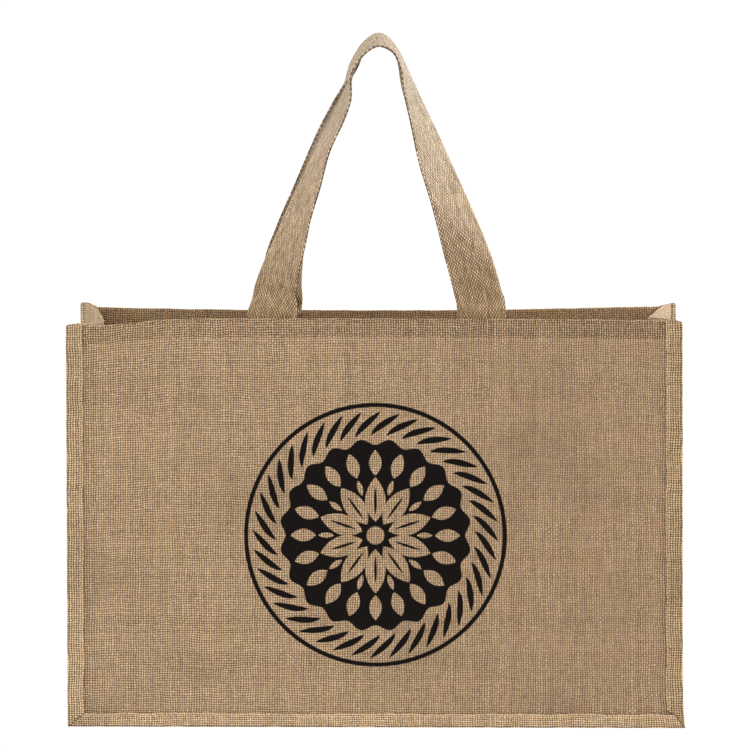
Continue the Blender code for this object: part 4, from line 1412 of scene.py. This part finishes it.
white_shader.inputs["Roughness"].default_value = 0.9
white_shader.inputs["Specular IOR Level"].default_value = 0.0
white_shader.inputs["Emission Color"].default_value = (1.0, 1.0, 1.0, 1.0)
white_shader.inputs["Emission Strength"].default_value = FLOOR_GLOW
stage_mesh.materials.append(white)
floor.visible_diffuse = floor.visible_glossy = False
print("floor", len(stage_mesh.polygons), "faces")

# %% [markdown]
# ## The light
# The light is the soft, even light of a product photograph.  A bright room lights the bag from
# all around, nearly twice as brightly from overhead as from the sides.  A large lamp stands to
# the right and a little behind, a weaker one to the left, and a small one at the left front
# lifts the lower left of the panel.  The Standard view keeps white as white.

# %% room and lamps
ROOM_BELOW, ROOM_ABOVE, ROOM_COLOUR = 0.95, 0.8, (1.0, 0.995, 0.985, 1.0)
LAMP_COLOUR = (0.86, 1.0, 1.14)
Lamp = namedtuple("Lamp", "name place aim size power")
LAMPS = (
    Lamp("right", (2.27, 0.83, 0.93), (0.0, 0.0, 0.28), 1.35, 84.0),
    Lamp("left", (-2.41, 0.0, 0.93), (0.0, 0.0, 0.28), 1.35, 23.0),
    Lamp("left front", (-1.2, -1.5, 0.25), (-0.2, 0.0, 0.1), 0.8, 4.0),
)
world = bpy.data.worlds.new("studio")
bpy.context.scene.world = world
world.use_nodes = True
room = world.node_tree
direction = room.nodes.new("ShaderNodeTexCoord")
split = room.nodes.new("ShaderNodeSeparateXYZ")
upwards, brighter, brightness = (room.nodes.new("ShaderNodeMath") for _ in range(3))
upwards.operation, brighter.operation, brightness.operation = "MAXIMUM", "MULTIPLY", "ADD"
upwards.inputs[1].default_value, brighter.inputs[1].default_value = 0.0, ROOM_ABOVE
brightness.inputs[1].default_value = ROOM_BELOW
room.links.new(direction.outputs["Generated"], split.inputs[0])
room.links.new(split.outputs[2], upwards.inputs[0])
room.links.new(upwards.outputs[0], brighter.inputs[0])
room.links.new(brighter.outputs[0], brightness.inputs[0])
room.links.new(brightness.outputs[0], room.nodes["Background"].inputs[1])
room.nodes["Background"].inputs[0].default_value = ROOM_COLOUR
bpy.context.scene.view_settings.view_transform = "Standard"


def aimed(name, data, place, aim):
    """A lamp or camera at a place, turned towards its aim."""
    made = bpy.data.objects.new(name, data)
    made.location = place
    turned = (Vector(aim) - Vector(place)).to_track_quat("-Z", "Y")
    made.rotation_euler = turned.to_euler()
    bpy.context.scene.collection.objects.link(made)
    return made


for lamp in LAMPS:
    light = bpy.data.lights.new(lamp.name, "AREA")
    light.shape = "RECTANGLE"
    light.size = light.size_y = lamp.size
    light.energy, light.color = lamp.power, LAMP_COLOUR
    aimed(lamp.name, light, lamp.place, lamp.aim)
print(len(LAMPS), "lamps, of", sum(lamp.power for lamp in LAMPS), "watts in all")

# %% [markdown]
# ## The camera
# The photographer stood nearly five metres away with a long lens, a little above the rim and
# almost straight in front, so the back edge of the mouth looks only slightly smaller than the
# front edge.

# %% camera
CAMERA_PLACE, CAMERA_AIM, LENS = (0.079, -4.849, 0.7358), (-0.001, -0.089, 0.2638), 310.0
camera = bpy.data.cameras.new("camera")
camera.lens, camera.sensor_width, camera.clip_end = LENS, 36.0, 100.0
bpy.context.scene.camera = aimed("camera", camera, CAMERA_PLACE, CAMERA_AIM)
print("camera", math.dist(CAMERA_PLACE, CAMERA_AIM), "m from the bag")
